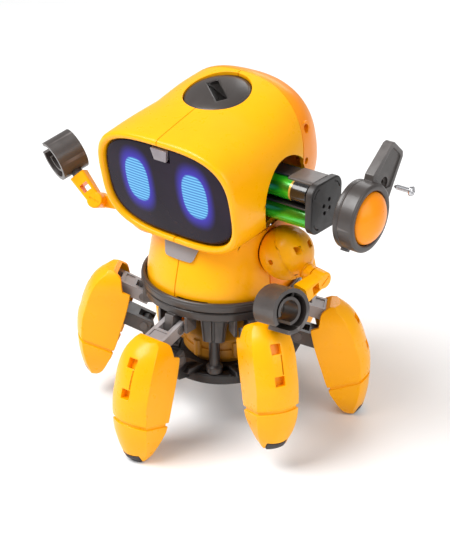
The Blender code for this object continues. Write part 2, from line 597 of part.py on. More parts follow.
def build_ear(prefix, side, outer_face, slotted, fin_turn=0.0):
    """A drum with a domed cap and a swept fin. outer_face is the X of its outer rim."""
    y, z = EAR_CENTRE
    to_side = Matrix.Translation((outer_face, y, z)) @ Matrix.Rotation(math.radians(90 * side), 4, "Y")
    rim = 13.0
    drum = lathe([(rim, -EAR_DEPTH), (EAR_RADIUS, -EAR_DEPTH), (EAR_RADIUS, -0.8), (EAR_RADIUS - 0.8, 0.0),
                  (rim, 0.0)], 32)
    drum.transform(to_side)
    ear = to_object(f"{prefix}_drum", drum, "dark_plastic")
    floor = turned_solid([(rim + 1, -EAR_DEPTH + 2.0), (rim + 1, -EAR_DEPTH + 4.0)], 24)
    floor.transform(to_side)
    combine(ear, to_object(f"{prefix}_floor", floor, None), "UNION")
    inner_x, outer_x = outer_face - side * 8.3, outer_face - side * 3.5
    c, s = math.cos(math.radians(fin_turn)), math.sin(math.radians(fin_turn))
    outline = [(y + dy * c - dz * s, z + dy * s + dz * c) for dy, dz in FIN]
    fin = loft([[(x, fy, fz) for fy, fz in outline] for x in sorted((inner_x, outer_x))])
    combine(ear, to_object(f"{prefix}_fin", fin, None), "UNION")
    dome = turned_solid([(rim - 0.4, -EAR_DEPTH + 4.0 + GAP), (rim - 0.4, -0.6), (rim - 1.2, 1.0), (rim - 3.6, 2.8),
                         (rim - 7.5, 4.4), (2.5, 5.2)], 24)
    dome.transform(to_side)
    to_object(f"{prefix}_dome", dome, "yellow_plastic")
    if slotted:
        hole = side_cutter(1.6, inner_x - 5, outer_x + 5, SCREW_AXIS, 16)
        combine(ear, to_object(f"{prefix}_screw_hole", hole, None), "DIFFERENCE")
        pocket = side_cutter(3.0, outer_x - 2.0, outer_x + 5, SCREW_AXIS, 16)
        combine(ear, to_object(f"{prefix}_screw_pocket", pocket, None), "DIFFERENCE")
    return ear


def build_ears():
    build_ear("battery_cover", 1, EAR_SEAT + EAR_OUT + EAR_DEPTH, True)
    build_ear("right_ear", -1, -(EAR_SEAT + EAR_DEPTH), False, RIGHT_FIN_TURN)


def build_screw():
    """Pan-head screw with a cross recess, drawn clear of the fin."""
    seat = EAR_SEAT + EAR_DEPTH - 3.5 - 1.8 + SCREW_TRAVEL + GAP
    y, z = SCREW_AXIS
    profile = [(0.5, -8.5), (1.25, -7.0), (1.25, 0.0), (2.4, 0.0), (2.4, 1.0), (1.6, 1.8)]
    bm = turned_solid(profile, 16)
    bm.transform(Matrix.Translation((seat, y, z)) @ Matrix.Rotation(math.radians(90), 4, "Y"))
    screw = to_object("battery_cover_screw", bm, "steel", origin=(seat, y, z))
    recess = box((seat + 0.9, y - 1.2, z - 0.3), (seat + 3, y + 1.2, z + 0.3))
    combine(screw, to_object("screw_recess", recess, None), "DIFFERENCE")
    return screw


def tray_face():
    return EAR_SEAT - 0.5 + CELL_TRAVEL


def build_battery_tray():
    """The four-cell tray: an end block with sockets, a middle spine, top and bottom bars, and a rear block."""
    y, z = EAR_CENTRE
    face = tray_face()
    rear = face - TRAY_LENGTH
    turn = Matrix.Translation((0, y, z)) @ Matrix((Vector((0, 0, 1)), Vector((1, 0, 0)), Vector((0, 1, 0)))).to_4x4()
    outline = rounded_square(TRAY_HALF, 6.0, 3)
    body = prism(outline, face - 3.6, face, turn)
    tray = to_object("battery_tray", body, "dark_plastic")
    pieces = {
        "tray_rear": prism(outline, rear, rear + 3.0, turn),
        "tray_spine": prism([(-0.5, -11.8), (0.5, -11.8), (0.5, 11.8), (-0.5, 11.8)], rear + 1, face - 1, turn),
        "tray_shelf": prism([(-11.0, -0.5), (11.0, -0.5), (11.0, 0.5), (-11.0, 0.5)], rear + 1, face - 1, turn),
        "tray_top": prism([(-5.0, 11.3), (5.0, 11.3), (5.0, 12.4), (-5.0, 12.4)], rear + 1, face - 1, turn),
        "tray_bottom": prism([(-5.0, -12.4), (5.0, -12.4), (5.0, -11.3), (-5.0, -11.3)], rear + 1, face - 1, turn),
    }
    for name, bm in pieces.items():
        combine(tray, to_object(name, bm, None), "UNION")
    return tray


def build_cells():
    """Four AAA cells, each with its terminal at alternate ends."""
    y, z = EAR_CENTRE
    face = tray_face()
    start = face - 3.6 - GAP - CELL_LENGTH
    offset = CELL_RADIUS + 0.5 + 0.25
    number = 0
    for dy in (-offset, offset):
        for dz in (offset, -offset):
            number += 1
            profile = [(CELL_RADIUS, 0.0), (CELL_RADIUS, CELL_LENGTH - 0.9), (1.9, CELL_LENGTH - 0.9),
                       (1.9, CELL_LENGTH)]
            cell = turned_solid(profile, 16)
            flip = number in (1, 4)
            direction = (1, 0, 0) if flip else (-1, 0, 0)
            place = (start if flip else start + CELL_LENGTH, y + dy, z + dz)
            cell.transform(place_at(place, direction))
            to_object(f"battery_{number}", cell, "battery_green")


# ---- torso --------------------------------------------------------------------------------------
# Half width, front and back reach of the torso against height.
TORSO_WIDTH = [(76.0, 37.4), (79.8, 37.4), (92.0, 36.2), (104.0, 34.8), (128.0, 30.0)]
TORSO_FRONT = [(76.0, 37.4), (79.8, 37.4), (92.0, 35.0), (104.0, 31.5), (128.0, 24.0)]
TORSO_REAR = [(76.0, 37.4), (79.8, 37.4), (84.0, 41.5), (96.0, 44.0), (104.0, 44.5), (128.0, 36.0)]
TORSO_HEIGHTS = (TORSO_BOTTOM, 79.8, 84.0, 90.0, 96.0, 104.0, 112.0, 120.0)
# The collar plate: height, and half its spread in degrees around the torso.
CHEST_PLATE = ((97.5, 12.0), (99.0, 14.3), (105.0, 17.2), (112.0, 19.5))


def torso_point(angle, height, inset):
    width = blend(height, TORSO_WIDTH) - inset
    reach = (blend(height, TORSO_FRONT) if math.sin(angle) < 0 else blend(height, TORSO_REAR)) - inset
    power = 2.0 / 2.05
    c, s = math.cos(angle), math.sin(angle)
    return width * math.copysign(abs(c) ** power, c), reach * math.copysign(abs(s) ** power, s), height


def torso_strip(start, end, steps):
    loops = []
    for height in TORSO_HEIGHTS:
        angles = [math.radians(start + (end - start) * i / steps) for i in range(steps + 1)]
        outer = [torso_point(a, height, 0.0) for a in angles]
        inner = [torso_point(a, height, TORSO_WALL) for a in reversed(angles)]
        loops.append(outer + inner)
    return loft(loops)


def build_torso():
    """Two front shells that meet on the chest's seam, one rear shell, and the collar plate under the chin."""
    stations = (46.0, HEAD_FACE, 30.0, 20.0, 10.0, 0.0, -8.0, HEAD_SPLIT, -20.0, -28.0, -37.0, -43.0, HEAD_BACK)
    clearance = loft([head_arc(s, 0, 345, 23, -0.5) for s in stations])
    clearance.transform(head_frame())
    head_space = to_object("head_space", clearance, None)
    pods = [to_object(f"pod_space_{side}", shoulder_pod(side, 0.4), None) for side in (1, -1)]
    shells = (("torso_front_left", -89.6, -12.0, 7), ("torso_front_right", -168.0, -90.4, 7),
              ("torso_rear", -11.0, 191.0, 18))
    for name, start, end, steps in shells:
        shell = to_object(name, torso_strip(start, end, steps), "yellow_plastic")
        for space in (head_space, *pods):
            combine(shell, space, "DIFFERENCE")
    loops = []
    for height, spread in CHEST_PLATE:
        angles = [math.radians(-90 + spread * (i / 4 - 1)) for i in range(9)]
        skin = [torso_point(a, height, -1.5) for a in angles]
        loops.append(skin + [torso_point(a, height, -0.4) for a in reversed(angles)])
    plate = to_object("chest_plate", loft(loops), "grey_plastic")
    combine(plate, head_space, "DIFFERENCE")


def build_turntable():
    """The dished ring that carries the torso and turns on the leg frame, with its hollow spindle."""
    low = FRAME_TOP + GAP
    floor = low + 1.7
    profile = [(3.0, low - 12.0), (5.6, low - 12.0), (5.6, low), (RING_RADIUS - 0.6, low), (RING_RADIUS, low + 0.8),
               (RING_RADIUS, RING_TOP), (RING_RADIUS - RING_WALL, RING_TOP), (RING_RADIUS - RING_WALL, floor),
               (3.0, floor)]
    return to_object("turntable_ring", lathe(profile, 36), "dark_plastic")


# ---- arms ---------------------------------------------------------------------------------------
def limb(start, end, half_start, half_end, up=(0, 0, 1)):
    """A rounded-square bar between two points; the halves are (across, along up)."""
    start, end = Vector(start), Vector(end)
    axis = (end - start).normalized()
    side = axis.cross(Vector(up)).normalized()
    top = side.cross(axis)
    loops = []
    for centre, (across, tall) in ((start, half_start), (end, half_end)):
        corner = 0.35 * min(across, tall)
        loops.append([centre + side * x + top * h for x, h in rounded_square(across, corner, 3, tall)])
    return loft(loops)


def shoulder_pod(side, swell=0.0):
    x, y, z = SHOULDER
    rows = []
    for i in range(7):
        a = math.radians(-78 + 26 * i)
        rows.append(((13.2 + swell) * math.cos(a) ** 0.8 + 0.4 * swell, (12.4 + swell) * math.sin(a)))
    pod = turned_solid(rows, 16)
    pod.transform(place_at((side * x, y, z), (side, 0, 0)))
    return pod


def build_shoulder(side_name, side):
    """The rounded shoulder pod on the torso's flank."""
    x, y, z = SHOULDER
    obj = to_object(f"{side_name}_shoulder", shoulder_pod(side), "yellow_plastic", origin=(side * x, y, z))
    for dy, dz in ((-6.0, 7.5), (6.5, 7.5)):
        near = Vector((side * (x + 5.5), y + dy - 2.2, z + dz - 2.2))
        far = near + Vector((side * 8, 4.4, 4.4))
        window = box((min(near.x, far.x), near.y, near.z), (max(near.x, far.x), far.y, far.z))
        combine(obj, to_object(f"{side_name}_pod_window_{dy:.0f}", window, None), "DIFFERENCE")
    return obj


def build_arm(side_name, side, elbow, hand, elbow_axis, hand_axis, mouth):
    """Pod, upper arm, forearm and hand, posed. The elbow is a lap joint on a pin."""
    shoulder = Vector((side * SHOULDER[0], SHOULDER[1], SHOULDER[2]))
    elbow, hand = Vector(elbow), Vector(hand)
    fore = (hand - elbow).normalized()
    axis = Vector(elbow_axis)
    axis = (axis - fore * axis.dot(fore)).normalized()
    hand = hand + axis * 2.6
    build_shoulder(side_name, side)
    reach = (elbow - shoulder).normalized()
    start = shoulder + reach * 14.2
    bar = limb(start - axis * 3.6, elbow - axis * 3.9, (2.5, 3.6), (2.5, 3.4), axis.cross(reach))
    upper = to_object(f"{side_name}_upper_arm", bar, "yellow_plastic", origin=shoulder)
    root = cylinder(3.6, shoulder + reach * 11.0 - axis * 1.8, start + reach * 1.2 - axis * 2.2, 16)
    eye = cylinder(4.2, elbow - axis * 6.4, elbow - axis * 1.2, 14)
    for label, bm, operation in (("root", root, "UNION"), ("eye", eye, "UNION"),
                                 ("eye_hole", cylinder(2.2, elbow - axis * 8, elbow + axis * 2, 10), "DIFFERENCE")):
        combine(upper, to_object(f"{side_name}_upper_{label}", bm, None), operation)
    combine(upper, to_object(f"{side_name}_pod_space", shoulder_pod(side, GAP), None), "DIFFERENCE")
    barrel = cylinder(4.3, elbow - axis * 0.9, elbow + axis * 6.0, 14)
    forearm = to_object(f"{side_name}_forearm", barrel, "yellow_plastic", origin=elbow)
    wrist = hand - fore * (HAND_RADIUS + 2.2)
    beam = limb(elbow + axis * 2.6 + fore * 1.0, wrist, (3.2, 3.6), (4.2, 4.4), axis.cross(fore))
    pin = cylinder(1.9, elbow - axis * 6.2, elbow + axis * 0.5, 10)
    middle = (elbow + axis * 1.2 + wrist) / 2
    window = cylinder(2.6, middle - axis * 12, middle + axis * 12, 4)
    for label, bm, operation in (("beam", beam, "UNION"), ("pin", pin, "UNION"), ("window", window, "DIFFERENCE")):
        combine(forearm, to_object(f"{side_name}_fore_{label}", bm, None), operation)
    build_hand(side_name, hand, fore, wrist, Vector(hand_axis), mouth)


def build_hand(side_name, centre, fore, wrist, axis, mouth):
    """A C-shaped gripper: outer jaw, inner sleeve, a floor between them and the wrist stem."""
    axis = (axis - fore * axis.dot(fore)).normalized()
    side = fore.cross(axis)
    place = Matrix((side, fore, axis)).transposed().to_4x4()
    place.translation = centre - axis * HAND_LENGTH / 2
    aim = 90.0 + mouth
    half_gap = 24.0
    jaw = prism(arc_strip(HAND_RADIUS - 2.0, HAND_RADIUS, aim + half_gap, aim + 360 - half_gap, 18), 0, HAND_LENGTH, place)
    hand = to_object(f"{side_name}_hand", jaw, "dark_plastic", origin=wrist)
    floor = prism(arc_strip(HAND_BORE, HAND_RADIUS - 1, aim + 27, aim + 333, 18), 0.4, 3.0, place)
    sleeve = prism(arc_strip(HAND_BORE + 0.3, HAND_BORE + 1.8, aim + 38, aim + 322, 16), 1.5, HAND_LENGTH - 1.5, place)
    stem = cylinder(3.0, wrist + fore * 1.0, centre - fore * (HAND_RADIUS - 1.4), 16)
    for label, bm in (("floor", floor), ("sleeve", sleeve), ("stem", stem)):
        combine(hand, to_object(f"{side_name}_hand_{label}", bm, None), "UNION")
    return hand


def move_to_frame():
    """The finished object stands over the origin: the middle of its own box, soles at Z = 0."""
    for obj in bpy.data.objects:
        if obj.parent is None:
            obj.location += Vector((*HUB_AT, 0.0)) * MM


def main():
    clear_scene()
    build_leg_frame()
    build_gearbox()
    build_lower_plate()
    build_post("front_post", -60.0)
    build_post("rear_post", 120.0)
    for number in range(1, LEG_COUNT + 1):
        build_leg(number)
    build_turntable()
    build_torso()
    build_head_shells()
    build_head_back()
    build_visor()
    build_eye_display()
    build_crown()
    build_ears()
    build_battery_tray()
    build_cells()
    build_screw()
    build_arm("left", 1, LEFT_ELBOW, LEFT_HAND, (1, 0, 0), (1, -0.2, 0.25), 30.0)
    build_arm("right", -1, RIGHT_ELBOW, RIGHT_HAND, (0.33, -0.85, 0.41), (-0.45, -0.85, -0.2), 10.0)
    move_to_frame()


main()
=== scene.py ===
import math

import bmesh
import bpy
from mathutils import Matrix, Vector


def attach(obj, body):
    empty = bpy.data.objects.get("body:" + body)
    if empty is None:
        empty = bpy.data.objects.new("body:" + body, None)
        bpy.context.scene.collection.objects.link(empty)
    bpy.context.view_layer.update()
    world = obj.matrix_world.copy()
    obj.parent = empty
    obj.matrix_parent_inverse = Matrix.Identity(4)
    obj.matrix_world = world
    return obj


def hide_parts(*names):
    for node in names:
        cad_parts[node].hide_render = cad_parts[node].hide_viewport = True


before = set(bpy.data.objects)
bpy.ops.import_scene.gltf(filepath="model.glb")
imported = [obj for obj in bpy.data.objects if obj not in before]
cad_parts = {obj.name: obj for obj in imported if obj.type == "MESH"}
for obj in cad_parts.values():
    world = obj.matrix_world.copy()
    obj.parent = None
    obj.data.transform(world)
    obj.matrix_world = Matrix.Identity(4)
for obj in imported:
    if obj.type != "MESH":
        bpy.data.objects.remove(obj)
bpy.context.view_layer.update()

# Visual model of the hexapod robot kit. Lengths below are in millimetres, measured from the legs' hub
# axis, with the soles at Z = 0; HUB_AT moves them into the CAD frame.
MM = 0.001
GAP = 0.3
HUB_AT = (2.094, 0.568)
FRAME_RADIUS, FRAME_BOTTOM, FRAME_TOP = 40.0, 68.8, 74.0
RING_RADIUS, RING_TOP, RING_WALL = 41.0, 79.3, 2.2
PLATE_RADIUS, PLATE_BOTTOM, PLATE_TOP = 30.0, 27.0, 33.0
COLUMN_RADIUS, GEARBOX_RADIUS, GEARBOX_TOP = 12.0, 20.0, 52.0
POST_RADIUS, POST_ORBIT, BOSS_BOTTOM = 2.8, 26.0, 52.0
LINK_PIVOT = (40.0, 62.0)
LINK_LENGTH, LINK_LOW, LINK_HIGH = 20.0, -14.0, 24.0
PIN_SPACING, PIN_RADIUS, PIN_HOLE = 17.0, 1.5, 1.85
FOOT_RADIUS, SHELL_WALL = 70.0, 1.8
TORSO_BOTTOM, TORSO_WALL = 76.3, 2.0
HEAD_CENTRE, HEAD_TILT = (0.0, -1.5, 132.0), 12.0
HEAD_WALL, HEAD_FACE, HEAD_BACK, HEAD_SPLIT, SPLIT_LEAN = 2.2, 40.0, -49.0, -14.0, 0.32
FACE_UP = 11.5
CROWN_AT, CROWN_RADIUS, SLOT_TURN, CROWN_TILT = -7.0, 16.5, 52.0, 3.0
EAR_CENTRE, EAR_RADIUS, EAR_DEPTH = (-1.5, 132.0), 16.5, 10.5
EAR_SEAT, EAR_OUT, CELL_TRAVEL = 41.5, 36.0, 22.5
SCREW_AXIS, SCREW_TRAVEL = (15.0, 143.0), 51.0
BOSS_AT, RIGHT_FIN_TURN = (34.5, 18.0, 158.0), -35.0
CELL_RADIUS, CELL_LENGTH = 5.25, 44.5
TRAY_HALF, TRAY_LENGTH = 12.6, 52.0
SHOULDER = (42.5, -3.5, 101.6)
LEFT_ELBOW, LEFT_HAND = (61.0, -4.5, 95.2), (56.6, -29.8, 88.0)
RIGHT_ELBOW, RIGHT_HAND = (-70.0, -15.0, 102.5), (-92.0, -14.0, 122.0)
HAND_RADIUS, HAND_BORE, HAND_LENGTH = 11.0, 5.0, 15.0
EYE_X, EYE_UP = 17.5, 2.6

scene = bpy.context.scene


# ---- materials ----------------------------------------------------------------------------------
class Nodes:
    """Short hand for a material's node tree."""

    def __init__(self, name):
        self.material = bpy.data.materials.new(name)
        self.material.use_nodes = True
        self.tree = self.material.node_tree
        self.shader = self.tree.nodes["Principled BSDF"]
        self.coords = self.add("ShaderNodeTexCoord").outputs["Object"]

    def add(self, kind, **inputs):
        node = self.tree.nodes.new(kind)
        for key, value in inputs.items():
            self.put(node.inputs[key.replace("_", " ")], value)
        return node

    def put(self, socket, value):
        if isinstance(value, bpy.types.NodeSocket):
            self.tree.links.new(value, socket)
        else:
            socket.default_value = value

    def set(self, **inputs):
        """Numbers, colours or links for the shader's own sockets."""
        for key, value in inputs.items():
            self.put(self.shader.inputs[key.replace("_", " ")], value)

    def math(self, operation, a, b=0.0, c=0.0):
        node = self.add("ShaderNodeMath")
        node.operation = operation
        for socket, value in zip(node.inputs, (a, b, c)):
            self.put(socket, value)
        return node.outputs[0]

    def noise(self, scale, detail=3.0, rough=0.5, vector=None):
        node = self.add("ShaderNodeTexNoise", Scale=scale, Detail=detail, Roughness=rough)
        self.put(node.inputs["Vector"], vector or self.coords)
        return node.outputs["Fac"]

    def span(self, value, low, high, to_low=0.0, to_high=1.0, smooth=False):
        node = self.add("ShaderNodeMapRange")
        node.interpolation_type = "SMOOTHSTEP" if smooth else "LINEAR"
        for socket, number in zip(node.inputs, (value, low, high, to_low, to_high)):
            self.put(socket, number)
        return node.outputs[0]

    def mix(self, factor, a, b):
        node = self.add("ShaderNodeMix")
        node.data_type = "RGBA"
        self.put(node.inputs[0], factor)
        for socket, value in ((node.inputs[6], a), (node.inputs[7], b)):
            self.put(socket, value if isinstance(value, bpy.types.NodeSocket) else (*value, 1.0))
        return node.outputs[2]

    def bump(self, height, strength, distance, normal=None):
        node = self.add("ShaderNodeBump", Strength=strength, Distance=distance, Height=height)
        if normal is not None:
            self.put(node.inputs["Normal"], normal)
        return node.outputs["Normal"]


def shade(colour, factor):
    return tuple(min(1.0, c * factor) for c in colour)


def plastic(name, colour, rough, grain=0.05, mottle=0.05, edge=None, coat=0.0, flow=1.0, gloss=0.5):
    """Moulded plastic: faint flow marks, uneven gloss, a fine spark-eroded grain and sharp edges painted lighter as
    a painted highlight.
    """
    n = Nodes(name)
    marks = n.noise(38.0 * flow, 4.0, 0.55)
    tone = n.mix(n.span(marks, 0.35, 0.65), shade(colour, 1.0 - mottle), shade(colour, 1.0 + mottle))
    if edge is not None:
        # Sharp edges take the lighter edge colour in noisy patches: a painted highlight.
        ridge = n.add("ShaderNodeNewGeometry").outputs["Pointiness"]
        painted_edge_highlight = n.math("MULTIPLY", n.span(ridge, 0.52, 0.60, smooth=True),
                     n.span(n.noise(160.0), 0.3, 0.6, 0.45, 1.0))
        tone = n.mix(painted_edge_highlight, tone, edge)
    n.set(Base_Color=tone)
    dust = n.span(n.noise(210.0, 5.0, 0.6), 0.3, 0.7, max(0.04, rough - 0.05), rough + 0.07)
    n.set(Roughness=dust)
    fine = n.bump(n.noise(2600.0, 2.0), grain, 0.00008)
    n.set(Normal=n.bump(n.noise(70.0 * flow, 2.0), 0.05, 0.0006, fine))
    n.set(Coat_Weight=coat, Coat_Roughness=0.08, IOR=1.49, Specular_IOR_Level=gloss)
    return n.material


def visor_material():
    """Tinted polished lens with two oval lamps of thin scan lines and a violet halo."""
    n = Nodes("visor_lens")
    split = n.add("ShaderNodeSeparateXYZ", Vector=n.coords)
    x, up = split.outputs[0], split.outputs[2]
    across = n.math("DIVIDE", n.math("SUBTRACT", n.math("ABSOLUTE", x), EYE_X * MM), 7.3 * MM)
    level = n.math("SUBTRACT", up, (FACE_UP + EYE_UP) * MM)
    tall = n.math("DIVIDE", level, 12.0 * MM)
    power = 2.5
    spread = n.math("ADD", n.math("POWER", n.math("ABSOLUTE", across), power),
                    n.math("POWER", n.math("ABSOLUTE", tall), power))
    radius = n.math("POWER", spread, 1.0 / power)
    lit = n.span(radius, 1.04, 0.92, smooth=True)
    halo = n.span(radius, 1.62, 0.92, smooth=True)
    wave = n.math("SINE", n.math("MULTIPLY", level, 2 * math.pi / (1.52 * MM)))
    lines = n.span(wave, -0.35, 0.25, 0.0, 1.0, smooth=True)
    lamp = n.mix(lines, (0.06, 0.27, 0.72), (0.20, 0.66, 1.0))
    soft = n.mix(halo, (0.0, 0.0, 0.0), (0.045, 0.035, 0.50))
    n.set(Emission_Color=n.mix(lit, soft, lamp))
    n.set(Emission_Strength=0.95)
    tint = n.mix(n.span(n.noise(30.0), 0.35, 0.65), (0.008, 0.004, 0.011), (0.015, 0.008, 0.020))
    n.set(Base_Color=tint)
    n.set(Roughness=n.span(n.noise(140.0, 4.0), 0.3, 0.7, 0.10, 0.19))
    n.set(Specular_IOR_Level=0.12)
    return n.material


def battery_material():
    """Shrink sleeve: bright green with a black band at one end, a gold line between, and three dark stripes around
    it as painted reflection.
    """
    n = Nodes("battery_sleeve")
    split = n.add("ShaderNodeSeparateXYZ", Vector=n.coords)
    along = split.outputs[2]
    turn = n.math("ARCTAN2", split.outputs[1], split.outputs[0])
    band = n.span(along, (CELL_LENGTH - 9.6) * MM, (CELL_LENGTH - 9.3) * MM)
    line = n.span(along, (CELL_LENGTH - 10.6) * MM, (CELL_LENGTH - 10.4) * MM)
    shine = n.span(n.noise(55.0, 3.0), 0.35, 0.65)
    body = n.mix(shine, (0.012, 0.36, 0.010), (0.045, 0.62, 0.020))
    # Three dark stripes around the cell: painted reflection.
    painted_reflection_stripes = n.span(n.math("SINE", n.math("MULTIPLY", turn, 3.0)), 0.2, 0.95)
    body = n.mix(n.math("MULTIPLY", painted_reflection_stripes, 0.75), body, (0.004, 0.085, 0.006))
    tone = n.mix(line, body, (0.60, 0.36, 0.06))
    n.set(Base_Color=n.mix(band, tone, (0.012, 0.012, 0.012)))
    n.set(Roughness=n.span(n.noise(260.0), 0.3, 0.7, 0.16, 0.28))
    n.set(Metallic=0.35)
    n.set(Coat_Weight=0.7)
    n.set(Normal=n.bump(n.noise(900.0), 0.05, 0.0001))
    return n.material


def metal_material(name, colour, rough):
    """Turned and plated metal with fine lathe marks and a little tarnish."""
    n = Nodes(name)
    tarnish = n.span(n.noise(300.0, 5.0, 0.65), 0.35, 0.7)
    n.set(Base_Color=n.mix(tarnish, colour, shade(colour, 0.72)))
    n.set(Metallic=1.0)
    n.set(Roughness=n.span(tarnish, 0.0, 1.0, rough, rough + 0.16))
    rings = n.add("ShaderNodeTexWave", Vector=n.coords, Scale=900.0, Distortion=1.5)
    n.set(Normal=n.bump(rings.outputs["Fac"], 0.06, 0.00006))
    return n.material


YELLOW = plastic("yellow_plastic_gloss", (1.0, 0.42, 0.0), 0.30, 0.03, 0.04, coat=0.08, gloss=0.25)
# The yellow plastic again, painted darker orange: painted shade for the rear of torso and head, the claw pins and
# the ear domes.
YELLOW_PAINTED_SHADE = plastic("yellow_plastic_painted_shade", (1.0, 0.29, 0.0), 0.32, 0.03, 0.04, coat=0.08, gloss=0.25)
# The gearbox plastic, painted darker amber-brown: painted shade inside the base.
AMBER_PAINTED_SHADE = plastic("amber_gearbox_painted_shade", (0.50, 0.20, 0.01), 0.42, 0.05, 0.06)
# The edge colours below are painted highlights on sharp edges.
DARK = plastic("dark_plastic_satin", (0.042, 0.034, 0.031), 0.34, 0.10, 0.12, edge=(0.15, 0.135, 0.13),
               coat=0.1)
# Near black: the mode knob's own black, and elsewhere the dark plastic painted darker as painted shade on the plate
# under the base, the battery tray and the cover catches.
SHADOW = plastic("black_plastic_and_painted_shade", (0.012, 0.010, 0.010), 0.40, 0.10, 0.12, edge=(0.13, 0.12, 0.12))
GREY = plastic("grey_plastic_satin", (0.27, 0.245, 0.245), 0.38, 0.08, 0.05, edge=(0.45, 0.42, 0.42), coat=0.1)
RUBBER = plastic("rubber_foot", (0.032, 0.028, 0.030), 0.68, 0.30, 0.12, edge=(0.09, 0.08, 0.08), flow=3.0)
TINT = plastic("brow_tinted_window", (0.15, 0.12, 0.14), 0.22, 0.05, 0.08, edge=(0.30, 0.27, 0.29), coat=0.2)
LENS = visor_material()
SLEEVE = battery_material()
STEEL = metal_material("plated_steel", (0.62, 0.62, 0.64), 0.20)
SPRING = metal_material("contact_metal", (0.70, 0.68, 0.62), 0.25)


# ---- mesh tools ---------------------------------------------------------------------------------
def curve(value, table):
    """Monotone smooth reading of (position, number) rows, never outside its neighbours."""
    if value <= table[0][0]:
        return table[0][1]
    if value >= table[-1][0]:
        return table[-1][1]
    k = max(i for i in range(len(table) - 1) if table[i][0] <= value)
    (x0, y0), (x1, y1) = table[k], table[k + 1]
    span = x1 - x0

    def slope(i):
        if i <= 0 or i >= len(table) - 1:
            j = min(max(i, 1), len(table) - 1)
            return (table[j][1] - table[j - 1][1]) / (table[j][0] - table[j - 1][0])
        a = (table[i][1] - table[i - 1][1]) / (table[i][0] - table[i - 1][0])
        b = (table[i + 1][1] - table[i][1]) / (table[i + 1][0] - table[i][0])
        return 0.0 if a * b <= 0 else 2 * a * b / (a + b)

    t = (value - x0) / span
    m0, m1 = slope(k) * span, slope(k + 1) * span
    return ((2 * t**3 - 3 * t**2 + 1) * y0 + (t**3 - 2 * t**2 + t) * m0
            + (3 * t**2 - 2 * t**3) * y1 + (t**3 - t**2) * m1)


def loft(loops, closed=False):
    """Skins loops of equal length; open lofts get both ends closed."""
    bm = bmesh.new()
    rows = [[bm.verts.new(Vector(p)) for p in loop] for loop in loops]
    count = len(rows[0])
    pairs = list(zip(rows, rows[1:])) + ([(rows[-1], rows[0])] if closed else [])
    for low, high in pairs:
        for i in range(count):
            j = (i + 1) % count
            bm.faces.new((low[i], low[j], high[j], high[i]))
    if not closed:
        bm.faces.new(rows[0][::-1])
        bm.faces.new(rows[-1])
    bmesh.ops.recalc_face_normals(bm, faces=bm.faces)
    return bm


def rotation(degrees, axis):
    return Matrix.Rotation(math.radians(degrees), 4, axis)


def shift(x, y, z):
    return Matrix.Translation((x, y, z))


def place_at(point, direction=(0, 0, 1)):
    """Moves the origin to a point and turns Z to a direction."""
    return Matrix.Translation(Vector(point)) @ Vector(direction).to_track_quat("Z", "Y").to_matrix().to_4x4()


def frame_at(point, x, y, z):
    """Moves the origin to a point and turns the axes to three given ones."""
    matrix = Matrix((x, y, z)).transposed().to_4x4()
    matrix.translation = Vector(point)
    return matrix


def moved(bm, place):
    bm.transform(place)
    return bm


def signed(value, power):
    return math.copysign(abs(value) ** power, value)


def prism(outline, low, high, place=None):
    bm = loft([[(x, y, h) for x, y in outline] for h in (low, high)])
    if place is not None:
        bm.transform(place)
    return bm


def circle(radius, steps=64, centre=(0, 0)):
    angles = [2 * math.pi * i / steps for i in range(steps)]
    return [(centre[0] + radius * math.cos(a), centre[1] + radius * math.sin(a)) for a in angles]


def rounded(half, corner, steps=6, half_y=None):
    half_y = half if half_y is None else half_y
    points = []
    for quarter, (sx, sy) in enumerate(((1, 1), (-1, 1), (-1, -1), (1, -1))):
        for i in range(steps + 1):
            a = math.radians(90 * quarter + 90 * i / steps)
            points.append((sx * (half - corner) + corner * math.cos(a),
                           sy * (half_y - corner) + corner * math.sin(a)))
    return points


def arc_strip(inner, outer, start, end, steps):
    angles = [math.radians(start + (end - start) * i / steps) for i in range(steps + 1)]
    out = [(outer * math.cos(a), outer * math.sin(a)) for a in angles]
    return out + [(inner * math.cos(a), inner * math.sin(a)) for a in reversed(angles)]


def lathe(profile, steps=96, place=None):
    """Turns a closed (radius, height) outline about Z."""
    angles = [2 * math.pi * i / steps for i in range(steps)]
    bm = loft([[(r * math.cos(a), r * math.sin(a), h) for r, h in profile] for a in angles], closed=True)
    if place is not None:
        bm.transform(place)
    return bm


def turned(profile, steps=64, place=None):
    """Turns an open (radius, height) outline and closes its ends flat."""
    bm = loft([[(x, y, h) for x, y in circle(r, steps)] for r, h in profile])
    if place is not None:
        bm.transform(place)
    return bm


def cylinder(radius, start, end, steps=32):
    axis = Vector(end) - Vector(start)
    return prism(circle(radius, steps), 0.0, axis.length, place_at(start, axis))


def box(low, high, place=None):
    (x0, y0, z0), (x1, y1, z1) = low, high
    return prism([(x0, y0), (x1, y0), (x1, y1), (x0, y1)], z0, z1, place)


def scratch(bm):
    mesh = bpy.data.meshes.new("scratch")
    bm.to_mesh(mesh)
    bm.free()
    obj = bpy.data.objects.new("scratch", mesh)
    scene.collection.objects.link(obj)
    return obj


def carve(bm, cuts=(), adds=()):
    """Adds and then cuts solids, exactly."""
    for operation, others in (("UNION", adds), ("DIFFERENCE", cuts)):
        for other in others:
            a, b = scratch(bm), scratch(other)
            step = a.modifiers.new("step", "BOOLEAN")
            step.operation, step.object, step.solver = operation, b, "EXACT"
            bpy.context.view_layer.update()
            done = a.evaluated_get(bpy.context.evaluated_depsgraph_get())
            bm = bmesh.new()
            bm.from_mesh(done.to_mesh())
            for used in (a, b):
                mesh = used.data
                bpy.data.objects.remove(used, do_unlink=True)
                bpy.data.meshes.remove(mesh)
    bmesh.ops.remove_doubles(bm, verts=bm.verts, dist=0.02)
    bmesh.ops.dissolve_degenerate(bm, edges=bm.edges, dist=0.01)
    return bm


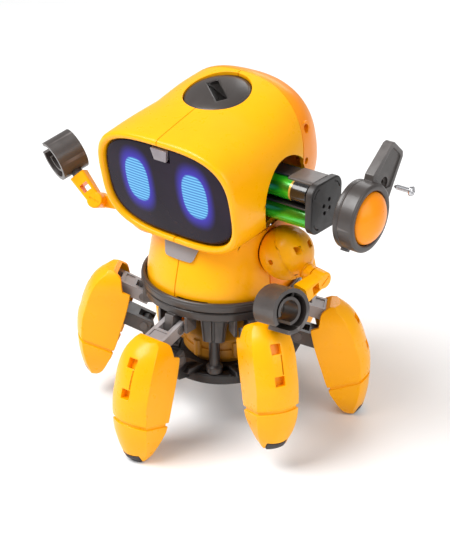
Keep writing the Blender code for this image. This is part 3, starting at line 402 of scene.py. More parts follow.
def piece(name, bm, material, body, stands=(), at=None, bevel=0.35, segments=2, angle=34.0):
    """A finished piece: rounded edges, even shading, its material, and the body it rides on."""
    bmesh.ops.scale(bm, verts=bm.verts, vec=(MM, MM, MM))
    bmesh.ops.recalc_face_normals(bm, faces=bm.faces)
    mesh = bpy.data.meshes.new(name)
    bm.to_mesh(mesh)
    bm.free()
    mesh.shade_smooth()
    mesh.materials.append(material)
    obj = bpy.data.objects.new(name, mesh)
    scene.collection.objects.link(obj)
    spot = (at or Matrix.Identity(4)).copy()
    spot.translation = (spot.translation + Vector((*HUB_AT, 0.0))) * MM
    obj.matrix_world = spot
    if bevel:
        edge = obj.modifiers.new("edge", "BEVEL")
        edge.width, edge.segments, edge.limit_method = bevel * MM, segments, "ANGLE"
        edge.angle_limit = math.radians(angle)
        edge.use_clamp_overlap = bevel > 0.3
        edge.miter_outer = "MITER_ARC"
    even = obj.modifiers.new("even", "WEIGHTED_NORMAL")
    even.keep_sharp = False
    even.weight = 80
    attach(obj, body)
    if stands:
        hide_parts(*([stands] if isinstance(stands, str) else stands))


# ---- walking base -------------------------------------------------------------------------------
def azimuth(number):
    return -90.0 + 60.0 * (number - 1)


def spoke(degrees):
    return rotation(degrees, "Z")


UPRIGHT = rotation(90, "X")  # an outline's second number becomes a height


def base_frame():
    r, b, t = FRAME_RADIUS, FRAME_BOTTOM, FRAME_TOP
    disc = lathe([(6.0, b), (r - 1.2, b), (r, b + 1.0), (r, t - 0.9), (r - 0.9, t), (6.0, t)], 128)
    column = lathe([(COLUMN_RADIUS - 2, GEARBOX_TOP + GAP), (COLUMN_RADIUS, GEARBOX_TOP + GAP),
                    (COLUMN_RADIUS, b + 1),
                    (COLUMN_RADIUS - 2, b + 1)], 64)
    adds, cuts = [column], []
    pivot, height = LINK_PIVOT
    for number in range(1, 7):
        turn = spoke(azimuth(number))
        outline = [(pivot - 5, b + 1), (pivot - 5, height + 1), (pivot - 2.5, height - 2.6),
                   (pivot - 1, height - 3.2),
                   (pivot + 1.5, height - 3.0), (pivot + 2.8, height - 1.6), (pivot + 3.0, height),
                   (pivot + 2.0, b + 1)]
        adds.append(moved(prism(outline, -2.6, 2.6, UPRIGHT), turn))
        for side in (-1, 1):
            cheek = box((pivot - 8, 7.6, height - 1.0), (pivot - 0.5, 9.2, b + 1))
            adds.append(moved(cheek, turn @ Matrix.Diagonal((1, side, 1, 1))))
        cuts.append(moved(cylinder(PIN_HOLE, (pivot, -4, height), (pivot, 4, height)), turn))
    for degrees in (-60.0, 120.0):
        loops = [[(x + POST_ORBIT, y, h) for x, y in rounded(half, 2.0, 5, wide)]
                 for half, wide, h in ((4.2, 5.5, BOSS_BOTTOM), (5.0, 7.0, b + 1))]
        adds.append(moved(loft(loops), spoke(degrees)))
        cuts.append(moved(box((POST_ORBIT + 3.2, -0.8, BOSS_BOTTOM - 1), (POST_ORBIT + 8, 0.8, b - 3)),
                          spoke(degrees)))
    piece("base_frame", carve(disc, cuts, adds), DARK, "base", "leg_frame", bevel=0.3)
    for number in range(1, 7):
        turn = spoke(azimuth(number))
        rib = prism([(14, b + 0.4), (34, b + 0.4), (34, b - 2.2), (16, b - 7)], -0.7, 0.7, UPRIGHT)
        piece(f"base_rib_{number}", moved(rib, turn), DARK, "base", bevel=0.25)


def base_gearbox():
    r = GEARBOX_RADIUS
    profile = [(r - 3, PLATE_TOP + GAP), (r - 0.6, PLATE_TOP + 3.4), (r, PLATE_TOP + 4.4), (r, 41.6),
               (r - 0.9, 41.9),
               (r - 0.9, 43.1), (r, 43.4), (r, GEARBOX_TOP - 5.6), (r - 0.8, GEARBOX_TOP - 4.4),
               (COLUMN_RADIUS + 0.5, GEARBOX_TOP)]
    body = turned(profile, 96)
    ears = [moved(cylinder(2.4, (r - 0.6, 0, PLATE_TOP + 4.6), (r - 0.6, 0, GEARBOX_TOP - 6)),
                  spoke(30 + 60 * i))
            for i in range(6)]
    # The housing colour carries painted shade for its place inside the base.
    piece("gearbox_case", carve(body, (), ears), AMBER_PAINTED_SHADE, "base", "gearbox_housing")


def base_plate():
    r, b, t = PLATE_RADIUS, PLATE_BOTTOM, PLATE_TOP
    plate = turned([(r - 1.6, b), (r - 0.4, b + 0.5), (r, b + 1.6), (r, t - 0.6), (r - 0.6, t)], 96)
    pivot, height = LINK_PIVOT[0], LINK_PIVOT[1] - PIN_SPACING
    top = height + 3.2
    adds, cuts = [], []
    for number in range(1, 7):
        turn = spoke(azimuth(number))
        outline = [(22.0, t - 2.2), (27.5, t - 4.3), (pivot - 2, t - 1.6), (pivot + 3.0, height - 3),
                   (pivot + 3.2, height), (pivot + 2.2, height + 2.2), (pivot + 0.6, top),
                   (pivot - 1.4, top - 0.1),
                   (pivot - 3.0, height + 1.6), (pivot - 4, height - 4), (24.0, t + 3)]
        adds.append(moved(prism(outline, -2.6, 2.6, UPRIGHT), turn))
        web = prism([(21.0, t - 1), (29.0, t - 1), (35.0, t + 1.5), (33.0, t + 3.6), (22, t + 1.6)], -5.6, 5.6,
                    UPRIGHT)
        adds.append(moved(web, turn))
        cuts.append(moved(cylinder(PIN_HOLE, (pivot, -4, height), (pivot, 4, height)), turn))
    for i in range(6):
        cuts.append(moved(cylinder(2.6, (24.5, 0, b - 2), (24.5, 0, b + 2.2)), spoke(30 + 60 * i)))
    cuts.append(lathe([(13.0, b - 1), (13.8, b - 1), (13.8, b + 0.7), (13.0, b + 0.7)], 64))
    # The plate under the base is the dark plastic painted near black: painted shade.
    piece("base_plate", carve(plate, cuts, adds), SHADOW, "base", "lower_plate", bevel=0.3)
    for i in range(6):
        spot = spoke(30 + 60 * i) @ shift(24.5, 0, b + 2.3) @ Matrix.Rotation(math.pi, 4, "X")
        screw_head(f"plate_screw_{i + 1}", spot, "base", 2.1)


def screw_head(name, at, body, radius=2.2, shank=0.0):
    """A domed cross-head screw, its axis along +Z of the placement."""
    profile = ([(0.5, -shank - 1.2), (radius * 0.42, -shank)] if shank else [])
    profile += [(radius * 0.46, -0.6), (radius * 0.46, 0.0), (radius, 0.0), (radius, 0.35),
                (radius * 0.86, 0.8),
                (radius * 0.5, 1.15), (radius * 0.15, 1.25)]
    head = turned(profile, 32)
    arm, deep = radius * 0.62, 0.55
    cuts = [box((-arm, -0.22, deep), (arm, 0.22, 2)), box((-0.22, -arm, deep), (0.22, arm, 2))]
    piece(name, carve(head, cuts), STEEL, body, at=at, bevel=0.0)


def base_posts():
    low, high = PLATE_TOP + GAP, BOSS_BOTTOM - GAP
    for name, degrees in (("front_post", -60.0), ("rear_post", 120.0)):
        profile = [(POST_RADIUS + 1.2, low), (POST_RADIUS + 1.5, low + 0.4), (POST_RADIUS + 1.5, low + 3.2),
                   (POST_RADIUS + 0.9, low + 3.9), (POST_RADIUS, low + 4.3), (POST_RADIUS, high)]
        spot = spoke(degrees) @ shift(POST_ORBIT, 0, 0)
        piece(f"{name}_turned", turned(profile, 48, spot), DARK, "base", name, bevel=0.2)


# ---- legs ---------------------------------------------------------------------------------------
SHELL_INNER = [(0.9, -2.6), (2.5, -5.0), (6.5, -7.7), (10.0, -9.0), (30.0, -15.8), (50.0, -22.8), (51.6, -23.0),
               (53.2, -19.2), (60.0, -18.2), (63.6, -14.0)]
SHELL_OUTER = [(0.9, 2.4), (2.5, 3.9), (6.5, 5.6), (12.0, 6.9), (17.0, 7.6), (25.0, 7.8), (34.0, 7.2),
               (42.0, 5.2),
               (48.0, 3.4), (55.0, 0.2), (59.5, -3.2), (62.0, -6.4), (63.6, -9.4)]
SHELL_WIDTH = [(0.9, 6.0), (2.5, 7.0), (6.5, 8.6), (12.0, 10.0), (18.0, 10.8), (26.0, 11.0), (48.0, 11.0),
               (54.0, 10.6), (59.0, 9.5), (62.0, 7.9), (63.6, 6.4)]
GROOVE_LOW, GROOVE_HIGH, GROOVE_TILT = 21.3, 23.3, 0.35
TOE_HALF, TOE_TOP, TOE_REAR = 5.0, 5.0, -3.0


def face_depth(rear, front):
    return min(4.4, 0.42 * (front - rear))


def shell_section(height, inset=0.0, open_inner=0.0, groove=0.0, steps=12):
    """Flat side walls, a crease, and a crowned outer face between them."""
    trim = inset + groove
    rear = curve(height, SHELL_INNER) + (trim if not open_inner else -open_inner)
    front = curve(height, SHELL_OUTER) - trim
    half = curve(height, SHELL_WIDTH) - trim
    depth = face_depth(rear, front)
    tilt = GROOVE_TILT * min(1.0, max(0.0, height - 6.5) / 12.0) * min(1.0, max(0.0, 47.0 - height) / 20.0)
    face = [(front - depth * t * t, half * t) for t in (-1.0 + 2.0 * i / steps for i in range(steps + 1))]
    middle = 0.5 * (rear + front - depth)
    outline = [(rear, -half), (middle, -half)] + face + [(middle, half), (rear, half)]
    return [(x, y, height + tilt * x) for x, y in outline]


def shell_shift():
    a = math.radians(LINK_LOW)
    return Vector((FOOT_RADIUS - LINK_PIVOT[0] - LINK_LENGTH * math.cos(a), 0,
                   -LINK_PIVOT[1] - LINK_LENGTH * math.sin(a)))


def shell_mesh():
    rows = [0.9, 1.6, 2.5, 4.0, 6.5, 9.0, 12.0, 15.0, 18.0, GROOVE_LOW - 0.05]
    loops = [shell_section(0.9, inset=0.5)] + [shell_section(h) for h in rows]
    loops += [shell_section(h, groove=0.9) for h in (GROOVE_LOW + 0.2, GROOVE_HIGH - 0.2)]
    upper = [GROOVE_HIGH + 0.05, 26.0, 29.0, 32.5, 36.0, 39.0, 42.0, 45.0, 48.0, 50.0, 51.6, 52.4, 53.2, 55.0,
             57.0, 58.8,
             60.4, 61.7, 62.6, 63.3, 63.6]
    loops += [shell_section(h) for h in upper]
    loops.append([(x, y, 63.6) for x, y, _ in shell_section(63.6, inset=1.6)])
    hull = loft(loops)
    levels = (10.5, 14, 19.0, 26, 34.0, 40, 46.0, 50, 53.0, 56, 58.0, 60, 62.0)
    hull = carve(hull, [loft([shell_section(h, SHELL_WALL, 12.0) for h in levels])])
    blocks, cuts = [], []
    for level, lean in ((40.5, 14.0), (55.3, 33.0)):
        front = curve(level, SHELL_OUTER)
        at = shift(front, 0, level) @ rotation(-lean, "Y")
        blocks.append(box((-4.6, -3.4, -3.4), (-0.9, 3.4, 3.4), at))
        cuts.append(box((-3.9, -2.45, -2.45), (5, 2.45, 2.45), at))
    low, high = Vector((curve(43.4, SHELL_OUTER), 0, 43.4)), Vector((curve(52.6, SHELL_OUTER), 0, 52.6))
    reach = high - low
    tip = math.degrees(math.atan2(reach.x, reach.z))
    seam = box((-0.75, -0.16, 0), (1.5, 0.16, reach.length))
    cuts.append(moved(seam, shift(low.x, 2.1, low.z) @ rotation(tip, "Y")))
    cuts.append(box((TOE_REAR - GAP, -TOE_HALF - GAP, -1.0), (12.0, TOE_HALF + GAP, TOE_TOP + GAP)))
    return moved(carve(hull, cuts, blocks), Matrix.Translation(shell_shift()))


def pins_mesh():
    """The shell's two cross pins with their square-shouldered collars."""
    bm = cylinder(PIN_RADIUS, (0, -9.5, 0), (0, 9.5, 0), 24)
    extra = [cylinder(PIN_RADIUS, (0, -9.5, -PIN_SPACING), (0, 9.5, -PIN_SPACING), 24)]
    for drop in (0.0, -PIN_SPACING):
        for side in (-1, 1):
            extra.append(cylinder(3.0, (0, side * 7.4, drop), (0, side * 8.6, drop), 32))
    return carve(bm, (), extra)


def foot_mesh():
    """The rubber tip between the side walls, crowned like the face above it."""
    loops = []
    for height, inset in ((0.0, 1.3), (0.2, 0.8), (0.6, 0.35), (1.2, 0.1), (2.5, 0.0), (3.8, 0.0),
                          (TOE_TOP, 0.0)):
        level = max(height, 0.9)
        front = curve(level, SHELL_OUTER) + 0.15 - inset
        full, depth = curve(level, SHELL_WIDTH), face_depth(curve(level, SHELL_INNER), front)
        half, rear = TOE_HALF - 0.6 * inset, TOE_REAR + 0.6 * inset
        face = [(front - depth * (half * t / full) ** 2, half * t) for t in (-1.0 + i / 5.0 for i in range(11))]
        loops.append([(x, y, height) for x, y in [(rear, -half)] + face + [(rear, half)]])
    return moved(loft(loops), Matrix.Translation(shell_shift()))


def fork(near, far, length, root):
    slot = 3.1
    return [(-3.4, slot), (-3.4, near), (length * 0.45, near + 0.2), (length, far), (length, -far),
            (length * 0.45, -near - 0.2), (-3.4, -near), (-3.4, -slot), (root, -slot), (root, slot)]


def link_mesh():
    half = 3.2
    link = prism(fork(5.6, 6.0, LINK_LENGTH + 2.1, 6.0), -half, half)
    cuts = [box((LINK_LENGTH - 5.6, -3.0, -half - 1), (LINK_LENGTH + 0.2, 3.0, half + 1)),
            box((7.6, -4.2, half - 0.6), (12.4, 4.2, half + 1)),
            box((7.6, -4.2, -half - 1), (12.4, 4.2, -half + 0.6)),
            cylinder(PIN_RADIUS + 0.35, (LINK_LENGTH, -9.5, 0), (LINK_LENGTH, 9.5, 0), 24)]
    return carve(link, cuts, [cylinder(PIN_RADIUS, (0, -4.2, 0), (0, 4.2, 0), 24)])


def arm_mesh():
    arm = prism(fork(5.6, 6.6, LINK_LENGTH + 3.2, 5.0), -3.9, 3.6)
    cuts = [cylinder(PIN_HOLE + 0.35, (LINK_LENGTH, -9.5, 0), (LINK_LENGTH, 9.5, 0), 24)]
    for side in (-1, 1):
        near, far = sorted((side * 5.9, side * 8.5))
        cuts.append(box((7.5, near, -2.4), (15.5, far, 2.2)))
    return carve(arm, cuts, [cylinder(PIN_RADIUS, (0, -4.2, 0), (0, 4.2, 0), 24)])


def legs():
    shell, pins, foot, link, arm_bar = shell_mesh(), pins_mesh(), foot_mesh(), link_mesh(), arm_mesh()
    for number in range(1, 7):
        leg = f"leg_{number}"
        tilt = rotation(-(LINK_HIGH if number % 2 == 0 else LINK_LOW), "Y")
        turn = spoke(azimuth(number))
        link_at = turn @ shift(LINK_PIVOT[0], 0, LINK_PIVOT[1]) @ tilt
        arm_at = turn @ shift(LINK_PIVOT[0], 0, LINK_PIVOT[1] - PIN_SPACING) @ tilt
        claw_at = link_at @ shift(LINK_LENGTH, 0, 0) @ tilt.inverted()
        # The claw pins take the yellow painted darker orange: painted shade.
        rows = (("claw_shell", shell, YELLOW, "claw", "shell", claw_at, 0.3),
                ("claw_pins", pins, YELLOW_PAINTED_SHADE, "claw", None, claw_at, 0.2),
                ("rubber_tip", foot, RUBBER, "claw", "foot", claw_at, 0.15),
                ("upper_box", link, GREY, "link", "upper_link", link_at, 0.4),
                ("lower_bar", arm_bar, DARK, "arm", "lower_arm", arm_at, 0.4))
        for name, mould, material, body, stands, spot, bevel in rows:
            piece(f"{leg}_{name}", mould.copy(), material, f"{leg}_{body}", stands and f"{leg}_{stands}",
                  at=spot,
                  bevel=bevel)
        for label, spot, body in (("hub", link_at, f"{leg}_link"), ("plate", arm_at, f"{leg}_arm")):
            peg = turned([(1.9, -6.3), (2.2, -6.0), (2.2, -5.3), (1.4, -5.2), (1.4, 5.2), (2.2, 5.3),
                          (2.2, 6.0),
                          (1.9, 6.3)], 32, UPRIGHT)
            piece(f"{leg}_{label}_peg", peg, DARK, body, at=spot, bevel=0.0)
    for mould in (shell, pins, foot, link, arm_bar):
        mould.free()


# ---- head ---------------------------------------------------------------------------------------
HEAD_WIDTH = [(-49.0, 9.0), (-48.0, 14.5), (-45.0, 22.5), (-41.0, 29.0), (-35.0, 34.5), (-24.0, 39.0),
              (-12.0, 40.9),
              (0.0, 41.4), (20.0, 42.0), (40.0, 41.5)]
HEAD_CROWN = [(-49.0, 10.0), (-48.0, 16.5), (-45.0, 25.5), (-41.0, 33.0), (-35.0, 39.5), (-26.0, 43.5),
              (-14.0, 43.3),
              (4.0, 42.2), (20.0, 41.6), (40.0, 40.6)]
HEAD_CHIN = [(-49.0, -4.0), (-48.0, -8.0), (-45.0, -15.0), (-41.0, -20.0), (-35.0, -24.5), (-20.0, -28.0),
             (0.0, -27.0), (20.0, -23.0), (40.0, -17.6)]


def head_matrix():
    """Right-handed head frame: its left, its back, its crown."""
    t = math.radians(HEAD_TILT)
    back, crown = Vector((0, math.cos(t), math.sin(t))), Vector((0, -math.sin(t), math.cos(t)))
    return frame_at(HEAD_CENTRE, Vector((1, 0, 0)), back, crown)


HEAD = head_matrix()


def head_outline(angle, along, inset=0.0):
    crown, chin = curve(along, HEAD_CROWN), curve(along, HEAD_CHIN)
    width = curve(along, HEAD_WIDTH) - inset
    tall = (crown - chin) / 2 - inset
    c, s = math.cos(angle), math.sin(angle)
    power = 2.0 / (2.5 + 0.7 * min(1.0, max(0.0, (along - 4.0) / 34.0)))
    side = width * signed(c, power)
    return side, (crown + chin) / 2 + tall * signed(s, power)


def head_point(angle, along, inset=0.0):
    lean = SPLIT_LEAN * max(0.0, 1.0 - abs(along - HEAD_SPLIT) / 28.0)
    _, up = head_outline(angle, along, inset)
    leant = along - lean * (up - 5.0)
    side, up = head_outline(angle, leant, inset)
    return Vector((side, -leant, up))


def even_angles(start, end, steps):
    """Angles in degrees that space a superellipse's points fairly evenly."""
    angles = []
    for i in range(steps + 1):
        a = start + (end - start) * i / steps
        quarter = math.floor(a / 90.0)
        t = a / 90.0 - quarter
        angles.append(90.0 * (quarter + t - 0.055 * math.sin(2 * math.pi * t)))
    return angles


def head_shells():
    alongs = [HEAD_SPLIT + (36.5 - HEAD_SPLIT) * i / 22 for i in range(23)]
    rim = [(38.0, 0.05), (39.0, 0.3), (39.7, 0.8), (40.0, 1.6), (39.95, 2.4), (39.5, 3.1), (38.8, 3.55),
           (37.6, 3.7),
           (34.0, 3.7)]
    inner = [(32.5, 2.3)] + [(a, HEAD_WALL) for a in (26.0, 18.0, 10.0, 4.0, -2.0, -8.0, HEAD_SPLIT)]
    profile = [(a, 0.0) for a in alongs] + rim + inner
    for side, label, start, end in ((1, "left", -90.0, 90.0), (-1, "right", 270.0, 90.0)):
        loops = []
        for a in even_angles(start, end, 56):
            loop = [head_point(math.radians(a), s, inset) for s, inset in profile]
            loops.append([(side * max(abs(p.x), 0.14), p.y, p.z) for p in loop])
        bm = moved(loft(loops), HEAD)
        y, z = EAR_CENTRE
        cuts = [prism(circle(CROWN_RADIUS + 0.3, 96), 28, 52, HEAD @ shift(0, -CROWN_AT, 0)),
                cylinder(EAR_RADIUS + (2.0 if side > 0 else 0.4), (side * 30, y, z), (side * 60, y, z), 96)]
        if side > 0:
            cuts.append(cylinder(1.6, (30, *SCREW_AXIS), (46, *SCREW_AXIS), 32))
        piece(f"head_{label}_half", carve(bm, cuts), YELLOW, "torso", f"head_shell_{label}",
              bevel=0.28, angle=40)


def head_back():
    start = HEAD_SPLIT - GAP
    spread = [start + (HEAD_BACK - start) * math.sin(math.radians(90 * i / 22)) for i in range(23)]
    angles = even_angles(0.0, 360.0, 96)[:-1]
    loops = [[head_point(math.radians(a), s) for a in angles] for s in spread]
    centre = sum(loops[-1], Vector()) / len(angles)
    for shrink, push in ((0.7, 0.12), (0.35, 0.2)):
        loops.append([centre + (p - centre) * shrink + Vector((0, push, 0)) for p in loops[-1]])
    bm = moved(loft(loops), HEAD)
    rows = [HEAD_SPLIT + 3] + [start - 31.0 * math.sin(math.radians(90 * i / 12)) for i in range(1, 13)]
    hollow = moved(loft([[head_point(math.radians(a), s, HEAD_WALL) for a in angles] for s in rows]), HEAD)
    x, y, z = BOSS_AT
    ear_y, ear_z = EAR_CENTRE
    sleeve = cylinder(3.6, (x - 8, y, z), (x + 2.5, y, z), 48)
    cuts = [cylinder(2.1, (x - 2, y, z), (x + 6, y, z), 32),
            cylinder(1.6, (30, *SCREW_AXIS), (46, *SCREW_AXIS), 32),
            cylinder(EAR_RADIUS + 0.4, (-60, ear_y, ear_z), (60, ear_y, ear_z), 96)]
    low = box((-0.16, 30, -40), (0.16, 56, 60))
    skin = moved(loft([[head_point(math.radians(a), s, 0.45) for a in angles] for s in spread]), HEAD)
    seam = carve(moved(low, HEAD), [skin])
    body = carve(bm, [hollow])
    body = carve(body, cuts + [seam], [sleeve])
    # The rear dome is the yellow plastic painted darker orange: painted shade.
    piece("head_rear_dome", body, YELLOW_PAINTED_SHADE, "torso", "head_back_cover", bevel=0.28, angle=40)
    spot = place_at((x - 1.8, y, z), (1, 0, 0))
    screw_head("head_side_screw", spot, "torso", 1.9)
    for side in (-1, 1):
        for up in (-14.0, 24.0):
            point = HEAD @ Vector((side * 17.0, 47.0 if up > 0 else 43.5, up * 0.72))
            normal = (HEAD.to_3x3() @ Vector((side * 0.34, 0.88, up * 0.018))).normalized()
            ring = lathe([(1.7, -1.6), (2.9, -1.6), (2.9, 0.25), (2.5, 0.6), (1.9, 0.6), (1.7, 0.3)], 40,
                         place_at(point, normal))
            # The screw cups take the same painted shade as the dome.
            piece(f"dome_screw_cup_{'l' if side > 0 else 'r'}{'t' if up > 0 else 'b'}", ring, YELLOW_PAINTED_SHADE, "torso",
                  bevel=0.0)


def superellipse(half_width, half_height, steps, power=2.6):
    points = []
    for a in even_angles(0.0, 360.0, steps)[:-1]:
        c, s = math.cos(math.radians(a)), math.sin(math.radians(a))
        p = 2.0 / power
        points.append((half_width * signed(c, p), half_height * signed(s, p)))
    return points


def visor():
    """The lens bulges gently; its outline follows the rim."""
    rows = [(35.2, 37.2, 24.7), (37.6, 37.2, 24.7), (38.0, 36.9, 24.4)]
    rows += [(38.0 + 1.2 * math.cos(math.pi / 2 * k), 36.9 * k, 24.4 * k) for k in (0.96, 0.9, 0.8, 0.65, 0.45, 0.2)]
    loops = [[(x, -s, FACE_UP + up) for x, up in superellipse(a, b, 96, 3.2)] for s, a, b in rows]
    notch = prism([(-5.3, 17.5), (5.3, 17.5), (5.3, 27), (-5.3, 27)], -3.4, 5, None)
    notch = moved(notch, face_plane(HEAD_FACE))
    lens = carve(loft(loops), [notch])
    piece("visor_lens", lens, LENS, "torso", ("visor", "eye_display"), at=HEAD, bevel=0.2, angle=50)
    outline = [(-4.9, 24.0), (-4.6, 24.1), (4.6, 24.1), (4.9, 24.0), (3.7, 18.2), (3.3, 17.9), (-3.3, 17.9),
               (-3.7, 18.2)]
    window = moved(prism(outline, -2.6, -0.55), face_plane(HEAD_FACE))
    piece("brow_window", window, TINT, "torso", "brow_sensor_window", at=HEAD, bevel=0.35)


def face_plane(along):
    """Flat drawing plane of the face in the head's own frame: x across, y up, z out."""
    return frame_at((0, -along, FACE_UP), Vector((1, 0, 0)), Vector((0, 0, 1)), Vector((0, -1, 0)))


def crown():
    base = curve(CROWN_AT, HEAD_CROWN)
    r = CROWN_RADIUS
    profile = [(r - 0.4, base - 6.0), (r, base - 5.6), (r, base - 2.6), (r - 0.5, base - 2.1),
               (r - 1.4, base - 1.9),
               (r - 1.7, base - 1.5), (r - 4.0, base - 0.8), (r - 7.0, base - 0.3), (r - 10.0, base - 0.05),
               (2.5, base + 0.05)]
    place = (HEAD @ shift(0, -CROWN_AT, base) @ rotation(CROWN_TILT, "X")
             @ shift(0, 0, -base) @ rotation(SLOT_TURN, "Z"))
    slot = box((-2.5, -9.2, base - 4.0), (2.5, 9.2, base + 4.0))
    dish = box((-3.1, -9.8, base - 0.7), (3.1, 9.8, base + 4.0))
    cap = carve(turned(profile, 96), [slot, dish])
    piece("crown_disc", moved(cap, place), DARK, "torso", "crown_cap", bevel=0.3)
    knob = prism(rounded(2.2, 0.5, 4, 3.6), base - 3.7, base - 1.2)
    ribs = [box((-3, y - 0.25, base - 1.6), (3, y + 0.25, base)) for y in (-2.4, -1.2, 0.0, 1.2, 2.4)]
    spot = place @ shift(0, 3.2, 0)
    piece("mode_knob", carve(knob, ribs), SHADOW, "mode_switch", "mode_switch_knob",
          at=spot, bevel=0.15)


# ---- ears, tray and screw -----------------------------------------------------------------------
FIN = [(4.5, 13.9), (6.0, 18.5), (20.5, 29.3), (23.0, 29.6), (31.0, 22.6), (31.2, 20.0), (18.0, -2.0),
       (14.4, -2.2),
       (14.1, 3.8), (11.5, 8.8), (8.3, 12.0)]


def ear(label, side, outer, body, drum_node, dome_node, slotted, fin_turn=0.0):
    y, z = EAR_CENTRE
    turn = Matrix.Rotation(math.radians(fin_turn), 2)

    def across(line, span):
        flat = [turn @ Vector(p) for p in line]
        return loft([[(x, y + p.x, z + p.y) for p in flat] for x in sorted(span)])

    to_side = shift(outer, y, z) @ rotation(90 * side, "Y")
    rim, r, d = 13.0, EAR_RADIUS, EAR_DEPTH
    drum = lathe([(rim, -d), (r - 0.3, -d), (r, -d + 0.3), (r, -d + 2.0), (r - 0.35, -d + 2.2),
                  (r - 0.35, -d + 2.7),
                  (r, -d + 2.9), (r, -1.1), (r - 0.3, -0.5), (r - 0.9, -0.1), (r - 1.4, 0.0), (rim + 0.9, 0.0),
                  (rim + 0.35, -0.2), (rim, -0.7)], 128)
    floor = turned([(rim + 1, -d + 2.0), (rim + 1, -d + 4.0)], 64)
    inner_x, outer_x = sorted((outer - side * 8.3, outer - side * 3.5))
    fin = across(FIN, (inner_x, outer_x))
    face_x = outer - side * 3.5
    pocket_line = [(8.5, 16.0), (20.4, 26.6), (22.6, 26.8), (28.6, 21.6), (28.6, 20.0), (21.0, 8.0),
                   (17.5, 8.5)]
    cuts = [across(pocket_line, (face_x - side * 0.7, face_x + side * 2))]
    if slotted:
        cuts.append(cylinder(1.6, (inner_x - 5, *SCREW_AXIS), (outer_x + 5, *SCREW_AXIS), 32))
        cuts.append(cylinder(3.0, (outer_x - 2.0, *SCREW_AXIS), (outer_x + 5, *SCREW_AXIS), 48))
    drum_bm = moved(drum, to_side)
    body_bm = carve(drum_bm, cuts, [moved(floor, to_side), fin])
    piece(f"{label}_drum_ring", body_bm, DARK, body, drum_node, bevel=0.28)
    dome = turned([(rim - 0.4, -d + 4.0 + GAP), (rim - 0.4, -0.9), (rim - 0.7, -0.2), (rim - 1.3, 0.7),
                   (rim - 2.4, 1.7),
                   (rim - 4.0, 2.8), (rim - 6.0, 3.8), (rim - 8.5, 4.7), (rim - 10.8, 5.1), (0.8, 5.2)], 96)
    # The dome is the yellow plastic painted darker orange: painted shade.
    piece(f"{label}_domed_cap", dome, YELLOW_PAINTED_SHADE, body, dome_node, at=to_side, bevel=0.15)
    return to_side


def ears():
    ear("cover", 1, EAR_SEAT + EAR_OUT + EAR_DEPTH, "battery_cover", "battery_cover_drum",
        "battery_cover_dome", True)
    ear("fixed", -1, -(EAR_SEAT + EAR_DEPTH), "torso", "right_ear_drum", "right_ear_dome", False,
        RIGHT_FIN_TURN)
    y, z = EAR_CENTRE
    x = EAR_SEAT + EAR_OUT
    for degrees in (-118.0, -62.0):
        a = math.radians(degrees)
        out = Vector((0, math.cos(a), math.sin(a)))
        at = Vector((x + 2.2, y, z)) + out * (EAR_RADIUS - 0.3)
        peg = prism(rounded(1.9, 0.6, 3, 1.5), -0.6, 1.5, place_at(at, out))
        # The catches are the dark plastic painted near black: painted shade.
        piece(f"cover_catch_{int(-degrees)}", peg, SHADOW, "battery_cover", bevel=0.2)


def screw():
    seat = EAR_SEAT + EAR_DEPTH - 3.5 - 1.8 + SCREW_TRAVEL + GAP
    place = place_at((seat, *SCREW_AXIS), (1, 0, 0))
    profile = [(0.45, -8.5), (0.9, -7.6)]
    for i in range(9):
        h = -7.4 + i * 0.78
        profile += [(0.92, h), (1.25, h + 0.28), (1.25, h + 0.40), (0.92, h + 0.68)]
    profile += [(0.95, -0.3), (1.05, 0.0), (2.3, 0.0), (2.4, 0.15), (2.4, 0.7), (2.15, 1.2), (1.5, 1.65),
                (0.5, 1.8)]
    body = turned(profile, 40)
    cuts = [box((-1.5, -0.28, 0.95), (1.5, 0.28, 3)), box((-0.28, -1.5, 0.95), (0.28, 1.5, 3))]
    piece("cover_fixing_screw", carve(body, cuts), STEEL, "cover_screw", "battery_cover_screw", at=place,
          bevel=0.0)


